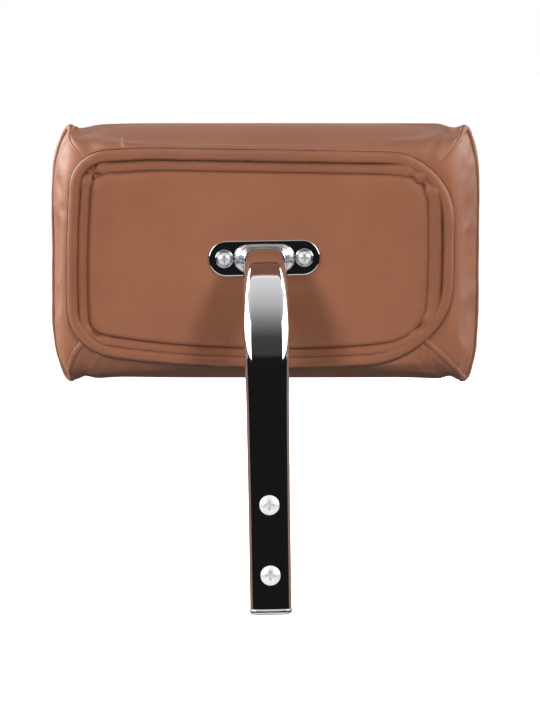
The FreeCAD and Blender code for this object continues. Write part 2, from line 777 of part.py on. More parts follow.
def piping(label, radius, offset, y):
    """A leather roll round the rear panel and the cord inside it, as two bodies."""
    made = []
    for name, inside in ((label, "0"), (f"{label}_cord", "piping_skin")):
        body = new_body(name)
        path = facing_back(body, f"{name}_path", y, z="rear_z")
        ring = [f"{side} + 2 * {offset}" for side in ("panel_width", "panel_height")]
        rounded_rectangle(path, *ring, f"panel_corner + {offset}")
        foot = f"rear_z - panel_height / 2 - {offset}"
        section = facing_right(body, f"{name}_section", "panel_width / 2 - panel_corner", y, foot)
        circle(section, f"2 * ({radius} - {inside})")
        pipe(body, section, path)
        made.append(body)
    skin = made[0]
    hollow = facing_right(skin, f"{label}_hollow", "panel_width / 2 - panel_corner", y, foot)
    circle(hollow, f"2 * ({radius} - piping_skin)")
    pipe(skin, hollow, skin.Group[0], add=False)
    return made


def pillow_loft(body, inset, first_y, add=True):
    """The pillow's outer shape drawn in by inset, from first_y to the front."""
    sketches = []
    for name, y, width, height, corner in STATIONS:
        if name == "rear":
            y = first_y
        elif name == "front":
            y = f"front_y - ({inset})"
        middle = "rear_z" if name == "rear" else "bar_height"
        sketch = facing_back(body, f"{body.Name}_{name}_{len(body.Group)}", y, z=middle)
        sides = [f"{side} - 2 * ({inset})" for side in (width, height)]
        rounded_rectangle(sketch, *sides, f"{corner} - ({inset})")
        sketches.append(sketch)
    loft(body, sketches, add)


def foam_core():
    """The foam, with room for the board, the tee nuts' flanges and the bolts' ends."""
    body = new_body("foam_core")
    pillow_loft(body, "leather + wadding", "board_y")
    seat = facing_back(body, "board_seat", "board_y", z="rear_z")
    rounded_rectangle(seat, "board_width", "board_height", "board_corner")
    pocket(body, seat, "board_thickness")
    for name, diameter, depth in (
        ("flange_room", "nut_flange + 2 * nut_fit", "nut_flange_thickness + nut_fit"),
        ("bolt_end_room", "bolt_size + bolt_room", "bolt_reach + bolt_room"),
    ):
        room = facing_back(body, name, "board_front_y")
        for side in ("-", ""):
            circle(room, diameter, x=f"{side}bolt_spacing / 2")
        pocket(body, room, depth)
    return body


def wadding_layer():
    """The soft layer between foam and leather."""
    body = new_body("wadding_layer")
    pillow_loft(body, "leather", "board_y")
    pillow_loft(body, "leather + wadding", "board_y", add=False)
    return body


def leather_shell():
    """The pillow's whole leather cover, its hem turned in at the rear, before it is cut into panels."""
    body = new_body("leather_shell")
    pillow_loft(body, "0", "hem_y")
    pillow_loft(body, "leather", "board_y", add=False)
    opening = facing_back(body, "hem_opening", "hem_y", z="rear_z")
    rounded_rectangle(opening, "opening_width", "opening_height", "board_corner - hem_width / 2")
    pocket(body, opening, "leather")
    return body


def wrap_tool():
    """A block that holds the front, top and bottom of the cover and leaves out its two ends."""
    body = new_body("wrap_tool")
    sketches = []
    for name, y, width, height, _ in STATIONS[:3]:
        sketch = facing_back(body, f"tool_{name}", y)
        rectangle(sketch, "0", "0", f"{width} - 2 * gusset_inset", "2 * pillow_height")
        sketches.append(sketch)
    loft(body, sketches)
    behind = facing_back(body, "tool_behind", "hem_y")
    rectangle(behind, "0", "0", "rear_width - 2 * gusset_inset", "2 * pillow_height")
    pad(body, behind, "pillow_depth")
    ahead = facing_back(body, "tool_ahead", "seam_y")
    rectangle(ahead, "0", "0", "2 * pillow_width", "2 * pillow_height")
    pad(body, ahead, "pillow_depth", reverse=True)
    return body


def half_space(label, side):
    """A box that holds one side of the chair."""
    body = new_body(label)
    outline = facing_back(body, f"{label}_outline", "hem_y - pillow_depth")
    rectangle(outline, f"{side}pillow_width", "0", "2 * pillow_width", "2 * pillow_height")
    pad(body, outline, "3 * pillow_depth", reverse=True)
    return body


def leather_panels():
    """The cover's three leather pieces: the wrap over front, top and bottom, and a gusset at each end."""
    shell, tool = leather_shell(), wrap_tool()
    made = [combined("Common", "cover_wrap", shell, tool)]
    ends = combined("Cut", "both_gussets", shell, tool)
    for place, side in (("left", "-"), ("right", "")):
        made.append(combined("Common", f"cover_gusset_{place}", ends, half_space(f"{place}_half", side)))
    return made


def staples():
    """The staples that hold the hem to the board, as one group: each is a crown with two legs."""
    crown, wire, leg = number("staple_crown"), number("staple_wire"), number("staple_leg")
    half_w = number("(board_width - hem_width) / 2")
    half_h = number("(board_height - hem_width) / 2")
    corner, rear, middle = number("board_corner"), number("hem_y"), number("rear_z")
    pitch = number("staple_pitch")
    rows = (
        (half_w - corner, lambda along: Vector(along, 0, half_h), 0),
        (half_w - corner, lambda along: Vector(along, 0, -half_h), 0),
        (half_h - corner / 2, lambda along: Vector(half_w, 0, along), 90),
        (half_h - corner / 2, lambda along: Vector(-half_w, 0, along), 90),
    )
    solids = []
    for reach, place, turn in rows:
        gaps = max(1, round(2 * reach / pitch))
        for step in range(gaps + 1):
            across = Part.makeBox(crown, wire, wire, Vector(-crown / 2, -wire, -wire / 2))
            staple = across
            for end in (-crown / 2, crown / 2 - wire):
                staple = staple.fuse(Part.makeBox(wire, leg + wire, wire, Vector(end, -wire, -wire / 2)))
            staple = staple.removeSplitter()
            staple.rotate(Vector(), Vector(0, 1, 0), turn)
            staple.translate(place(-reach + 2 * reach * step / gaps) + Vector(0, rear, middle))
            solids.append(staple.Solids[0])
    group = doc.addObject("Part::Feature", "staples")
    group.Label = "staples"
    group.Shape = Part.makeCompound(solids)
    return group


# ---------------------------------------------------------------- build, check and write


def build():
    """Makes every sub-part and returns them in order."""
    made = [support_tube(), tube_end_plug(), mounting_plate(), weld_bead()]
    made += back_fixings() + plate_fixings()
    made += [main_board(), foam_core(), wadding_layer()]
    made += leather_panels() + rear_panel() + panel_clips()
    made += piping("panel_welt", "welt_radius", "welt_offset", "panel_y + welt_radius")
    made += piping("rear_rim", "rim_radius", "rim_offset", "panel_y - rim_proud + rim_radius")
    made.append(staples())
    return made


def main():
    fill_sheet()
    made = build()
    doc.recompute()
    for thing in doc.Objects:
        if "Invalid" in thing.State or "Error" in thing.State:
            raise ValueError(f"{thing.Label} is {thing.State}")
    os.makedirs("parts", exist_ok=True)
    for part in made:
        shape = part.Shape
        if shape.isNull() or not shape.isValid() or not shape.Solids:
            raise ValueError(f"{part.Label} has no valid solid")
    for part in made:
        part.Shape.exportStep(f"parts/{part.Label}.step")
        print(f"{part.Label}: {len(part.Shape.Solids)} solid(s), {part.Shape.Volume / 1000:.2f} cm3")


main()
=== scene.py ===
import math

import bpy
import numpy as np
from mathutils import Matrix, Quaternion, Vector, noise


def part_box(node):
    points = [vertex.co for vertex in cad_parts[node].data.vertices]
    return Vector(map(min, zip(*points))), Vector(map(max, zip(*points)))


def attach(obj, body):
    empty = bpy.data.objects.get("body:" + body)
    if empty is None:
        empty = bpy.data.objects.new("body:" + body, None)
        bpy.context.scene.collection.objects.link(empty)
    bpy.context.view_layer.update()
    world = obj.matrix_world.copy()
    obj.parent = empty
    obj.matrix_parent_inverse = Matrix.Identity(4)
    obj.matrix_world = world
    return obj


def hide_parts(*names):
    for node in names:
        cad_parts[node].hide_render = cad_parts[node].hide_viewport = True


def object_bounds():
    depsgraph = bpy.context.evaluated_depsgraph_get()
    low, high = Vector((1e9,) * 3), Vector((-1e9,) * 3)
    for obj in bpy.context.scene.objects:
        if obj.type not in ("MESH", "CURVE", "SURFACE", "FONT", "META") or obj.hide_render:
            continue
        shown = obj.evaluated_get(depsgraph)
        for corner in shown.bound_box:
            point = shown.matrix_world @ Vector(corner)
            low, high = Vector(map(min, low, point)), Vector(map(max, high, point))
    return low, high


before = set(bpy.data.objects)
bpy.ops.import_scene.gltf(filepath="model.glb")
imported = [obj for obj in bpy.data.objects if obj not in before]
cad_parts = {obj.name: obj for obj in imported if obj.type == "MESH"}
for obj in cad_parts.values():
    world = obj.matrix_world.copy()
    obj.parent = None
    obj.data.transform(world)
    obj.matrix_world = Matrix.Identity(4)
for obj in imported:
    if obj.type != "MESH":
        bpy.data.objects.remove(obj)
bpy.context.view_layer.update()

MM = 0.001  # the sizes below are in millimetres, in the frame of the CAD model

# ---------------- where the CAD model puts things


def box_of(node):
    """A node's lowest and highest corners."""
    return [np.array(corner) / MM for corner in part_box(node)]


TUBE_LOW, TUBE_HIGH = box_of("support_tube")
PLATE_LOW, PLATE_HIGH = box_of("mounting_plate")
PANEL_LOW, PANEL_HIGH = box_of("panel_cover")
RIM_LOW, RIM_HIGH = box_of("rear_rim")
WRAP_LOW, WRAP_HIGH = box_of("cover_wrap")
BODY = "root"
CENTRE_Z = (WRAP_LOW[2] + WRAP_HIGH[2]) / 2
HALF_HEIGHT = (WRAP_HIGH[2] - WRAP_LOW[2]) / 2
REAR_Z = (RIM_LOW[2] + RIM_HIGH[2]) / 2
PLATE_Z = (PLATE_LOW[2] + PLATE_HIGH[2]) / 2

# ---------------- camera, floor and light

CAMERA_PLACE = (-25.0, -2571.0, 359.0)
CAMERA_AIM_RIGHT = 3.0  # of the headrest's middle
CAMERA_LENS = 183.0
CAMERA_ROLL = 0.9  # degrees
FLOOR_DROP = 60.0  # below the tube's lower end
FLOOR_REACH = 30000.0
FLOOR_GLOW = 0.8
WORLD_LIGHT = 0.26  # strength of the surroundings as a light; the camera sees them in full
LIGHT_AIM_Y = 80.0
WHITE = (1.0, 1.0, 1.0)
# azimuth from behind, elevation, distance and size in metres, power, and a colour if it isn't white
SOFT_BOXES = {
    "key_box_left": (-25.0, 12.0, 2.2, (0.35, 0.45), 36.0),
    "key_box_right": (25.0, 12.0, 2.2, (0.35, 0.45), 34.0),
    "side_box_left": (-98.0, 10.0, 2.0, (0.6, 1.0), 54.0),
    "side_box_right": (98.0, 10.0, 2.0, (0.6, 1.0), 30.0),
    "top_box": (0.0, 76.0, 2.0, (1.4, 1.0), 6.0),
    "low_box": (0.0, -55.0, 2.0, (1.4, 1.0), 24.0, (1.0, 0.80, 0.64)),
    "front_box": (180.0, 8.0, 2.2, (1.0, 1.0), 30.0),
}

# what reflections see, on a dome round the object: angles are in degrees, side from straight behind
# and rise from level. The ramp runs from level behind, over the top, to level in front.
DOME_RADIUS = 6.0  # in metres
DOME_MIDDLE = (0.0, 0.05, 0.15)
DOME_RAMP = (
    (0.000, (0.010, 0.010, 0.010)),
    (0.055, (0.012, 0.012, 0.013)),
    (0.075, (0.048, 0.049, 0.052)),
    (0.170, (0.060, 0.060, 0.062)),
    (0.250, (0.21, 0.20, 0.20)),
    (0.360, (0.52, 0.52, 0.53)),
    (0.480, (0.74, 0.74, 0.75)),
    (0.546, (0.80, 0.80, 0.80)),
    (0.552, (1.00, 1.00, 1.00)),
    (0.562, (0.95, 0.92, 0.90)),
    (0.572, (0.22, 0.092, 0.056)),
    (0.900, (0.22, 0.10, 0.065)),
    (0.960, (0.85, 0.85, 0.85)),
)
# windows are the lowest and highest side, then the lowest and highest rise
SIDE_WINDOW, SIDE_LEVEL = (37.0, 100.0, 6.0, 42.0), 2.6
FLANK_WINDOW, FLANK_LEVEL = (104.0, 146.0, 6.0, 58.0), 3.0
LEFT_FLANK_EXTRA = 3.5
LOW_GLOW_TOP, LOW_GLOW = -24.0, 0.75  # under that rise
CHAIR_WINDOW, CHAIR_COLOUR = (100.0, 181.0, -91.0, 4.0), (0.30, 0.20, 0.16)  # the chair's back, in front
CHAIR_SHADE_START, CHAIR_SHADE = 165.0, (0.07, 0.035, 0.022)

# ---------------- tube

BEND_RADIUS = 75.0
TUBE_CROWN = 0.25  # how far the flat faces belly out
TUBE_POINTS = 20  # on each flat and each round of the section
TUBE_STEP = 1.5
TUBE_SINK = 0.5  # of its upper end into the plate
STUB_SECTIONS = 4
TUBE_ROUNDS = 60  # of smoothing between the stations below
# width and depth of the section at distances from the tube's lower end: bending spreads it
TUBE_STATIONS = (0.0, 70.0, 140.0, 165.0, 195.0, 230.0, 262.0, 290.0)
TUBE_WIDTHS = (29.3, 29.4, 30.2, 30.9, 32.6, 32.0, 31.0, 30.6)
TUBE_DEPTHS = (15.0, 15.0, 15.0, 14.9, 14.3, 14.3, 14.8, 15.0)

# flare of the ground weld between tube and plate
WELD_LENGTH = 11.0
WELD_SIDE = 9.0  # how far it spreads to each side at the plate
WELD_UP = 3.4
WELD_ROWS = 16
WELD_SWEEP = 0.98  # share of a quarter circle that the flare follows
WELD_TUCK = 0.04  # share of its spread by which it starts inside the tube
WELD_SINK = 0.1
WELD_RIPPLE = 0.3
WELD_RIPPLE_SIZE = 3.0

WASHER_RADIUS = 6.6
WASHER_BORE = 2.75
WASHER_THICKNESS = 1.2
WASHER_DISH = 0.35  # how far its middle lies in front of its rear
# the rolled edge, as distances inside the rim and in front of the washer's rear
WASHER_EDGE = ((1.75, 0.45), (1.25, 0.2), (0.85, -0.1), (0.5, -0.1), (0.15, 0.1), (0.0, 0.5))
WASHER_CHAMFER = 0.2
WASHER_GAP = 0.02  # to the plate
WASHER_SIDES = 64

# ---------------- rear of the pillow

PILLOW_LEAN = 1.0  # degrees that the pillow has turned on its bolts, clockwise from behind
PILLOW_SHIFT = 1.7  # how far the cover sits off the bolts' middle
REAR_SHIFT = -4.4  # of the rim against the widest part
REAR_LEAN = 0.9  # degrees that the rim and the rear panel have turned farther
# corners in the order top left, top right, bottom right, bottom left, seen from behind
RIM_CORNERS = (24.0, 47.0, 58.0, 32.0)
RIM_SIZE_CHANGE = (1.0, -2.9)  # width and height of the stuffed rim against its flat pattern
RIM_RISE = 2.9  # its middle, above the pattern's
RIM_LEAST_CORNER = 7.0
RIM_RADIUS = 4.1  # of the outer roll
# unevenness of each roll: share of its radius, the distance that it changes over, and a seed
RIM_UNEVENNESS = ((0.07, 16.0, 3.0), (0.03, 5.0, 8.0))
CREASE_UNEVENNESS = ((0.15, 7.0, 9.0),)
WELT_UNEVENNESS = ((0.08, 9.0, 5.0),)
LIP_UNEVENNESS = ((0.12, 12.0, 2.0),)
RIM_ROUNDS, WELT_ROUNDS, LIP_ROUNDS = 6, 4, 3  # of smoothing along each roll
CREASE_RADIUS = 0.9  # of the dark roll in the crease outside the outer roll, painted shade for the crease's shadow line
CREASE_DEPTH = 7.2  # from the rim's rear to that dark roll
CREASE_INSET = 0.1
RIM_SEAT = 5.0  # from the rim's rear to the outer roll's centreline
WELT_RADIUS = 3.9  # of the inner roll
WELT_RIGHT_SWELL = 1.8  # how much thicker it is on the right
WELT_SWELL_REACH = (70.0, 118.0)  # x over which it gets there
WELT_SEAT = 3.4  # from the panel's rear to the inner roll's centreline
PINCH_DEPTH = 0.6  # share of the inner roll's radius that is gathered in at a corner
PINCH_REACH = 3.2
GATHER_SWELL = 0.22  # bulge on both sides of a pinch, as a share of the radius
GATHER_PLACE = 2.4  # its distance from the pinch, in reaches of the pinch
# where the inner roll is gathered: the way to it from the middle in x and z, and how strongly
WELT_PINCHES = ((-1.0, 1.3, 1.4), (1.0, 0.8, 0.9), (1.0, 1.9, 0.6), (-1.0, -1.5, 0.8), (1.0, -0.9, 0.7))
PANEL_CORNERS = (8.0, 19.0, 26.0, 8.0)
PANEL_SIZE_CHANGE = (-2.2, -3.7)
PANEL_RISE = 1.9
PANEL_SHIFT = -1.2  # of the rear panel against the rim
BOTTOM_BOW = 9.5  # how far the lower edge sags in the middle
BOTTOM_BOW_POWER = 2.2
SIDE_BOW = 2.5
CORNER_DROOP = 3.0  # of the upper edge towards the left corner
DROOP_START = 0.55  # share of the half width where it begins
OUTLINE_POINTS = 360
ARC_POINTS = 24
PANEL_CROWN = 3.2
PANEL_RINGS = 40
PANEL_DENT = 0.35
PANEL_DENT_SIZE = 34.0
PANEL_TUCK = 3.0  # how far the panel's edge turns in between the rolls
PANEL_TUCK_START = 0.955  # share of the way from the middle to the edge
PANEL_THICKNESS = 1.2
PLATE_PRESS = 16.0  # distance over which the leather dips towards the plate
PLATE_GAP = 0.05
# creases in the rear panel's leather, from its gathered corners inwards: as in FOLDS below
PANEL_FOLDS = (
    ((-124.0, 66.0), (-112.0, 57.0), 1.5, 0.9),
    ((-125.0, 62.0), (-117.0, 50.0), 1.3, 0.6),
    ((-119.0, 68.0), (-104.0, 63.0), 1.4, 0.6),
    ((115.0, 55.0), (104.0, 49.0), 1.6, 0.6),
    ((108.0, 60.0), (98.0, 56.0), 1.6, 0.5),
    ((-124.0, -44.0), (-113.0, -37.0), 1.6, 0.6),
    ((108.0, -52.0), (98.0, -44.0), 1.6, 0.7),
    ((113.0, -46.0), (104.0, -38.0), 1.5, 0.5),
)

# ---------------- body of the pillow

ACROSS = 64  # quads from side to side
UP = 40
LOOP = 2 * (ACROSS + UP)
CORNER_PULL = 0.4  # how much closer the mesh lines get towards the corners
# y, inset from the widest outline at the sides, the same at top and bottom, corner radius
BODY_STATIONS = (
    (83.6, 44.0, 42.0, 28.0),
    (83.6, 34.5, 32.5, 28.0),
    (82.4, 22.0, 21.4, 28.0),
    (83.6, 18.6, 18.2, 22.0),
    (89.0, 15.4, 15.0, 12.0),
    (97.0, 12.4, 12.0, 6.0),
    (106.0, 9.4, 9.0, 4.0),
    (115.5, 6.8, 6.0, 4.0),
    (125.0, 4.7, 3.7, 4.0),
    (134.0, 3.2, 1.8, 4.5),
    (140.5, 1.0, 0.9, 6.0),
    (147.0, 0.0, 0.2, 10.0),
    (153.5, 0.6, 0.4, 15.0),
    (159.5, 3.4, 3.0, 20.0),
    (165.0, 8.0, 7.6, 24.0),
    (169.4, 14.4, 13.6, 28.0),
    (172.6, 22.0, 21.0, 32.0),
    (174.6, 31.0, 30.0, 34.0),
)
REAR_REACH = (84.0, 104.0)  # y over which the section passes from the rim's shape to its own
REAR_STATION = 2
SEAM_STATION = 9
PINNED_RINGS = 4  # stations that filling doesn't move
REAR_BOW = 3.0  # how far each side bows out at the rear
REAR_FALL = 1.0  # how far the upper and lower edges fall towards the corners there
TOP_FLATNESS = 6  # powers: the higher, the flatter the middle of an edge
SIDE_FLATNESS = 5
EAR_INSET_LEFT = 13.0  # how far the ears stand inside the widest part of each side
EAR_INSET_RIGHT = 10.0
TOP_FALL = 5.5  # how far the upper and lower edges fall towards the ears
TOP_CROWN = 1.8  # how much higher still the upper edge rises in its middle
EAR_RISE = 4.4
EAR_REACH = 8.0
EAR_DEPTH = 10.0
DIP_PLACE = 13.0  # from an ear to the dip beside it
DIP_REACH = 6.0
DIP_FALL = 2.0
# folds in the leather seen from behind: both ends as x, z from the pillow's middle, half width, depth
FOLDS = (
    ((-101.0, 86.0), (-97.0, 76.0), 1.6, 1.0),
    ((104.5, -70.0), (103.0, -82.0), 1.5, 1.2),
    ((109.5, -69.0), (111.5, -82.0), 1.6, 1.5),
    ((114.5, -67.0), (118.5, -81.0), 1.6, 1.4),
    ((120.0, -64.0), (127.0, -80.0), 1.8, 1.0),
    ((126.0, 72.0), (133.0, 84.0), 3.0, 1.2),
    ((-122.0, -70.0), (-128.0, -80.0), 2.0, 0.9),
)
FOLD_FADE = (118.0, 136.0)  # y over which the folds run out
DEEPEST_FOLD = 1.4
FRONT_CROWN = 5.0
FILL_PRESSURE = 4.0
FILL_LIMIT = 4.0  # no point moves farther than this
FILL_FRAMES = 20
CLOTH = {
    "quality": 6,
    "mass": 0.25,
    "tension_stiffness": 22.0,
    "compression_stiffness": 22.0,
    "shear_stiffness": 8.0,
    "bending_stiffness": 1.2,
    "tension_damping": 12.0,
    "shrink_min": -0.012,
    "use_pressure": True,
    "uniform_pressure_force": FILL_PRESSURE,
}
BODY_DIVISIONS = 2
LIP_RADIUS = 1.6
LIP_EAR_SWELL = 1.2  # how much thicker the lip gets at an ear
LIP_EAR_REACH = 9.0
LIP_TOP_END = 0.25  # share of its radius that the lip has left at the upper rim corners
LIP_BOTTOM_END = 1.5  # and at the lower ones
LIP_BOTTOM_START = 0.3  # share of the way to the lower ear where it is that thick
LIP_POINTS = 150


# ---------------- building meshes

def piece_of(name, points, faces, finish):
    """New object from points in millimetres."""
    mesh = bpy.data.meshes.new(name)
    mesh.from_pydata([tuple(point) for point in np.asarray(points) * MM], [], faces)
    mesh.materials.append(finish)
    mesh.shade_smooth()
    made = bpy.data.objects.new(name, mesh)
    bpy.context.scene.collection.objects.link(made)
    return made


def skin(rows, columns, looped):
    """Quads over rows of closed rings. A loop joins its last row to its first; others get end caps."""
    faces = []
    for row in range(rows if looped else rows - 1):
        here, there = row * columns, (row + 1) % rows * columns
        for column in range(columns):
            after = (column + 1) % columns
            faces.append((here + column, here + after, there + after, there + column))
    if not looped:
        faces.append(tuple(reversed(range(columns))))
        faces.append(tuple(range((rows - 1) * columns, rows * columns)))
    return faces


def resampled(line, count, closed):
    """The line as that many points at even distances."""
    line = np.vstack([line, line[:1]]) if closed else np.asarray(line)
    steps = np.linalg.norm(np.diff(line, axis=0), axis=1)
    along = np.concatenate([[0.0], np.cumsum(steps)])
    wanted = np.linspace(0.0, along[-1], count, endpoint=not closed)
    return np.stack([np.interp(wanted, along, line[:, axis]) for axis in range(3)], axis=1)


def tangents(line, closed):
    """Unit directions along a line."""
    if closed:
        ahead = np.roll(line, -1, axis=0) - np.roll(line, 1, axis=0)
    else:
        ahead = np.gradient(line, axis=0)
    return ahead / np.linalg.norm(ahead, axis=1)[:, None]


def smoothed(line, rounds, closed):
    """Rounds off small kinks, and leaves an open line's ends where they are."""
    line = np.array(line, float)
    for _ in range(rounds):
        if closed:
            line = (np.roll(line, 1, axis=0) + 2 * line + np.roll(line, -1, axis=0)) / 4
        else:
            line[1:-1] = (line[:-2] + 2 * line[1:-1] + line[2:]) / 4
    return line


def wobble(points, size, seed):
    """Smooth irregularity between -1 and 1, over distances of about that size."""
    shift = Vector((seed, seed * 0.37, -seed))
    return np.array([noise.noise(Vector(point) / size + shift) for point in points])


def uneven(line, unevenness):
    """Factors close to 1 for the radius of a roll along a line."""
    return 1 + sum(share * wobble(line, size, seed) for share, size, seed in unevenness)


def roll(name, line, radius, outward, finish, closed, sides):
    """Round roll of varying radius along a line. outward gives a direction off the line at each point."""
    ahead = tangents(line, closed)
    off = outward - np.sum(outward * ahead, axis=1)[:, None] * ahead
    off /= np.linalg.norm(off, axis=1)[:, None]
    third = np.cross(ahead, off)
    turn = np.linspace(0.0, 2 * math.pi, sides, endpoint=False)
    ring = np.cos(turn)[None, :, None] * off[:, None, :] + np.sin(turn)[None, :, None] * third[:, None, :]
    points = line[:, None, :] + ring * np.asarray(radius)[:, None, None]
    return piece_of(name, points.reshape(-1, 3), skin(len(line), sides, closed), finish)


def turned(points, degrees, middle_z=0.0):
    """Turns points clockwise, seen from behind, about x = 0 at that height."""
    angle = math.radians(degrees)
    x, z = points[:, 0], points[:, 2] - middle_z
    moved = points.copy()
    moved[:, 0] = x * math.cos(angle) + z * math.sin(angle)
    moved[:, 2] = middle_z + z * math.cos(angle) - x * math.sin(angle)
    return moved


def leaned(points, shift=PILLOW_SHIFT, degrees=PILLOW_LEAN):
    """Turns points of the pillow about the plate's middle, and shifts them sideways."""
    moved = turned(points, degrees, PLATE_Z)
    moved[:, 0] += shift
    return moved


def outward_of(points, x=PILLOW_SHIFT + REAR_SHIFT, z=REAR_Z):
    """Directions away from a line along y, by default through the middle of the pillow's rear."""
    off = points - np.array([x, 0.0, z])
    off[:, 1] = 0.0
    return off / np.linalg.norm(off, axis=1)[:, None]


def smooth_step(value, low, high):
    """0 up to low, 1 from high, and a smooth rise between."""
    share = np.clip((value - low) / (high - low), 0.0, 1.0)
    return share * share * (3 - 2 * share)


# ---------------- materials

class Finish:
    """A material under construction, and the shader that its nodes feed."""

    def __init__(self, name):
        self.material = bpy.data.materials.new(name)
        self.material.use_nodes = True
        self.nodes = self.material.node_tree.nodes
        self.shader = self.nodes["Principled BSDF"]
        self.places = self.nodes.new("ShaderNodeTexCoord").outputs["Object"]

    def link(self, source, target):
        self.material.node_tree.links.new(source, target)

    def set(self, **values):
        for name, value in values.items():
            self.shader.inputs[name.replace("_", " ")].default_value = value

    def noise(self, scale, detail=3.0, roughness=0.55, stretch=None):
        made = self.nodes.new("ShaderNodeTexNoise")
        made.inputs["Scale"].default_value = scale
        made.inputs["Detail"].default_value = detail
        made.inputs["Roughness"].default_value = roughness
        self.link(self.stretched(stretch), made.inputs["Vector"])
        return made.outputs["Fac"]

    def cells(self, scale):
        """Distance to the nearest of scattered points."""
        made = self.nodes.new("ShaderNodeTexVoronoi")
        made.inputs["Scale"].default_value = scale
        self.link(self.places, made.inputs["Vector"])
        return made.outputs["Distance"]

    def stretched(self, stretch):
        """The object's places, scaled by different amounts along its axes."""
        if stretch is None:
            return self.places
        made = self.nodes.new("ShaderNodeMapping")
        made.inputs["Scale"].default_value = stretch
        self.link(self.places, made.inputs["Vector"])
        return made.outputs["Vector"]

    def ramp(self, source, stops):
        """Colour by value, from (value, colour) stops."""
        made = self.nodes.new("ShaderNodeValToRGB")
        ramp = made.color_ramp
        while len(ramp.elements) < len(stops):
            ramp.elements.new(0.5)
        for element, (place, colour) in zip(ramp.elements, stops):
            element.position = place
            element.color = (*colour, 1.0)
        self.link(source, made.inputs["Fac"])
        return made.outputs["Color"]

    def range(self, source, low, high, start=0.0, end=1.0):
        """Passes start to end on to low to high."""
        made = self.nodes.new("ShaderNodeMapRange")
        made.inputs["From Min"].default_value = start
        made.inputs["From Max"].default_value = end
        made.inputs["To Min"].default_value = low
        made.inputs["To Max"].default_value = high
        self.link(source, made.inputs["Value"])
        return made.outputs["Result"]

    def blend(self, kind, share, first, second):
        """Mixes a second colour into a first; share and second may be sockets or plain values."""
        made = self.nodes.new("ShaderNodeMix")
        made.data_type = "RGBA"
        made.blend_type = kind
        if isinstance(share, float):
            made.inputs["Factor"].default_value = share
        else:
            self.link(share, made.inputs["Factor"])
        self.link(first, made.inputs["A"])
        if isinstance(second, tuple):
            made.inputs["B"].default_value = (*second, 1.0)
        else:
            self.link(second, made.inputs["B"])
        return made.outputs["Result"]

    def op(self, kind, first, second=None):
        """Output of one math node; each side is a socket or a number."""
        made = self.nodes.new("ShaderNodeMath")
        made.operation = kind
        for source, socket in zip((first, second), made.inputs):
            if isinstance(source, float):
                socket.default_value = source
            elif source is not None:
                self.link(source, socket)
        return made.outputs[0]

    def between(self, angle, low, high):
        """1 where an angle lies between two limits in degrees, else 0."""
        above = self.op("GREATER_THAN", angle, math.radians(low))
        return self.op("MULTIPLY", above, self.op("LESS_THAN", angle, math.radians(high)))

    def bump(self, heights):
        """heights are (source, strength, distance in millimetres), the coarsest first."""
        normal = None
        for source, strength, distance in heights:
            made = self.nodes.new("ShaderNodeBump")
            made.inputs["Strength"].default_value = strength
            made.inputs["Distance"].default_value = distance * MM
            self.link(source, made.inputs["Height"])
            if normal is not None:
                self.link(normal, made.inputs["Normal"])
            normal = made.outputs["Normal"]
        self.link(normal, self.shader.inputs["Normal"])


def leather_finish(name, dark, light, creases=0.35):
    """Semi-matte dyed leather: fine pebbled grain, soft creases, a slightly uneven dye, and painted shade
    darkening the dye in the pores.
    """
    made = Finish(name)
    dye = made.ramp(made.noise(scale=11.0, detail=4.0, roughness=0.6), ((0.3, dark), (0.7, light)))
    # painted shade: the dye is darkened by up to a tenth in the grain's pores
    pores = made.cells(scale=780.0)
    pore_shade = made.range(pores, low=0.90, high=1.0, start=0.0, end=0.5)
    pore_shaded_dye = made.blend("MULTIPLY", 1.0, dye, pore_shade)
    made.link(pore_shaded_dye, made.shader.inputs["Base Color"])
    gloss = made.range(made.noise(scale=45.0, detail=4.0), low=0.40, high=0.56)
    made.link(gloss, made.shader.inputs["Roughness"])
    made.bump((
        (made.noise(scale=42.0, detail=3.0, roughness=0.5), creases, 1.0),
        (made.noise(scale=260.0, detail=3.0, roughness=0.6), 0.22, 0.25),
        (pores, 0.28, 0.14),
    ))
    made.set(Sheen_Weight=0.05, Sheen_Roughness=0.4, Specular_IOR_Level=0.5)
    return made.material


def chrome_finish(name, colour, roughness, waviness):
    """Polished plating with faint waves and hairline polishing marks."""
    made = Finish(name)
    lighter = tuple(c * 1.03 for c in colour)
    tone = made.ramp(made.noise(scale=30.0, detail=2.0), ((0.3, colour), (0.7, lighter)))
    made.link(tone, made.shader.inputs["Base Color"])
    marks = made.noise(scale=90.0, detail=4.0, roughness=0.6, stretch=(14.0, 14.0, 1.0))
    made.link(made.range(marks, roughness * 0.7, roughness * 1.5), made.shader.inputs["Roughness"])
    waves = made.noise(scale=16.0, detail=1.0, roughness=0.4)
    made.bump(((waves, waviness, 0.5), (marks, 0.02, 0.02)))
    made.set(Metallic=1.0)
    return made.material


def metal_finish(name, dark, light, roughness, metallic, grain=0.12):
    """Plated or bare steel. Below 1, metallic lets some light scatter, as fine blasted plating does."""
    made = Finish(name)
    tone = made.ramp(made.noise(scale=120.0, detail=4.0), ((0.35, dark), (0.65, light)))
    made.link(tone, made.shader.inputs["Base Color"])
    gloss = made.range(made.noise(scale=300.0), roughness * 0.7, roughness * 1.4)
    made.link(gloss, made.shader.inputs["Roughness"])
    made.bump(((made.noise(scale=900.0), grain, 0.05),))
    made.set(Metallic=metallic)
    return made.material


def grained_finish(name, dark, light, scale, stretch, roughness, grain, depth):
    """Wood, hardboard and moulded plastic: a tone and a bump from one stretched noise."""
    made = Finish(name)
    pattern = made.noise(scale, detail=5.0, roughness=0.6, stretch=stretch)
    made.link(made.ramp(pattern, ((0.35, dark), (0.65, light))), made.shader.inputs["Base Color"])
    made.link(made.range(pattern, roughness * 0.85, min(1.0, roughness * 1.15)),
              made.shader.inputs["Roughness"])
    made.bump(((pattern, grain, depth),))
    return made.material


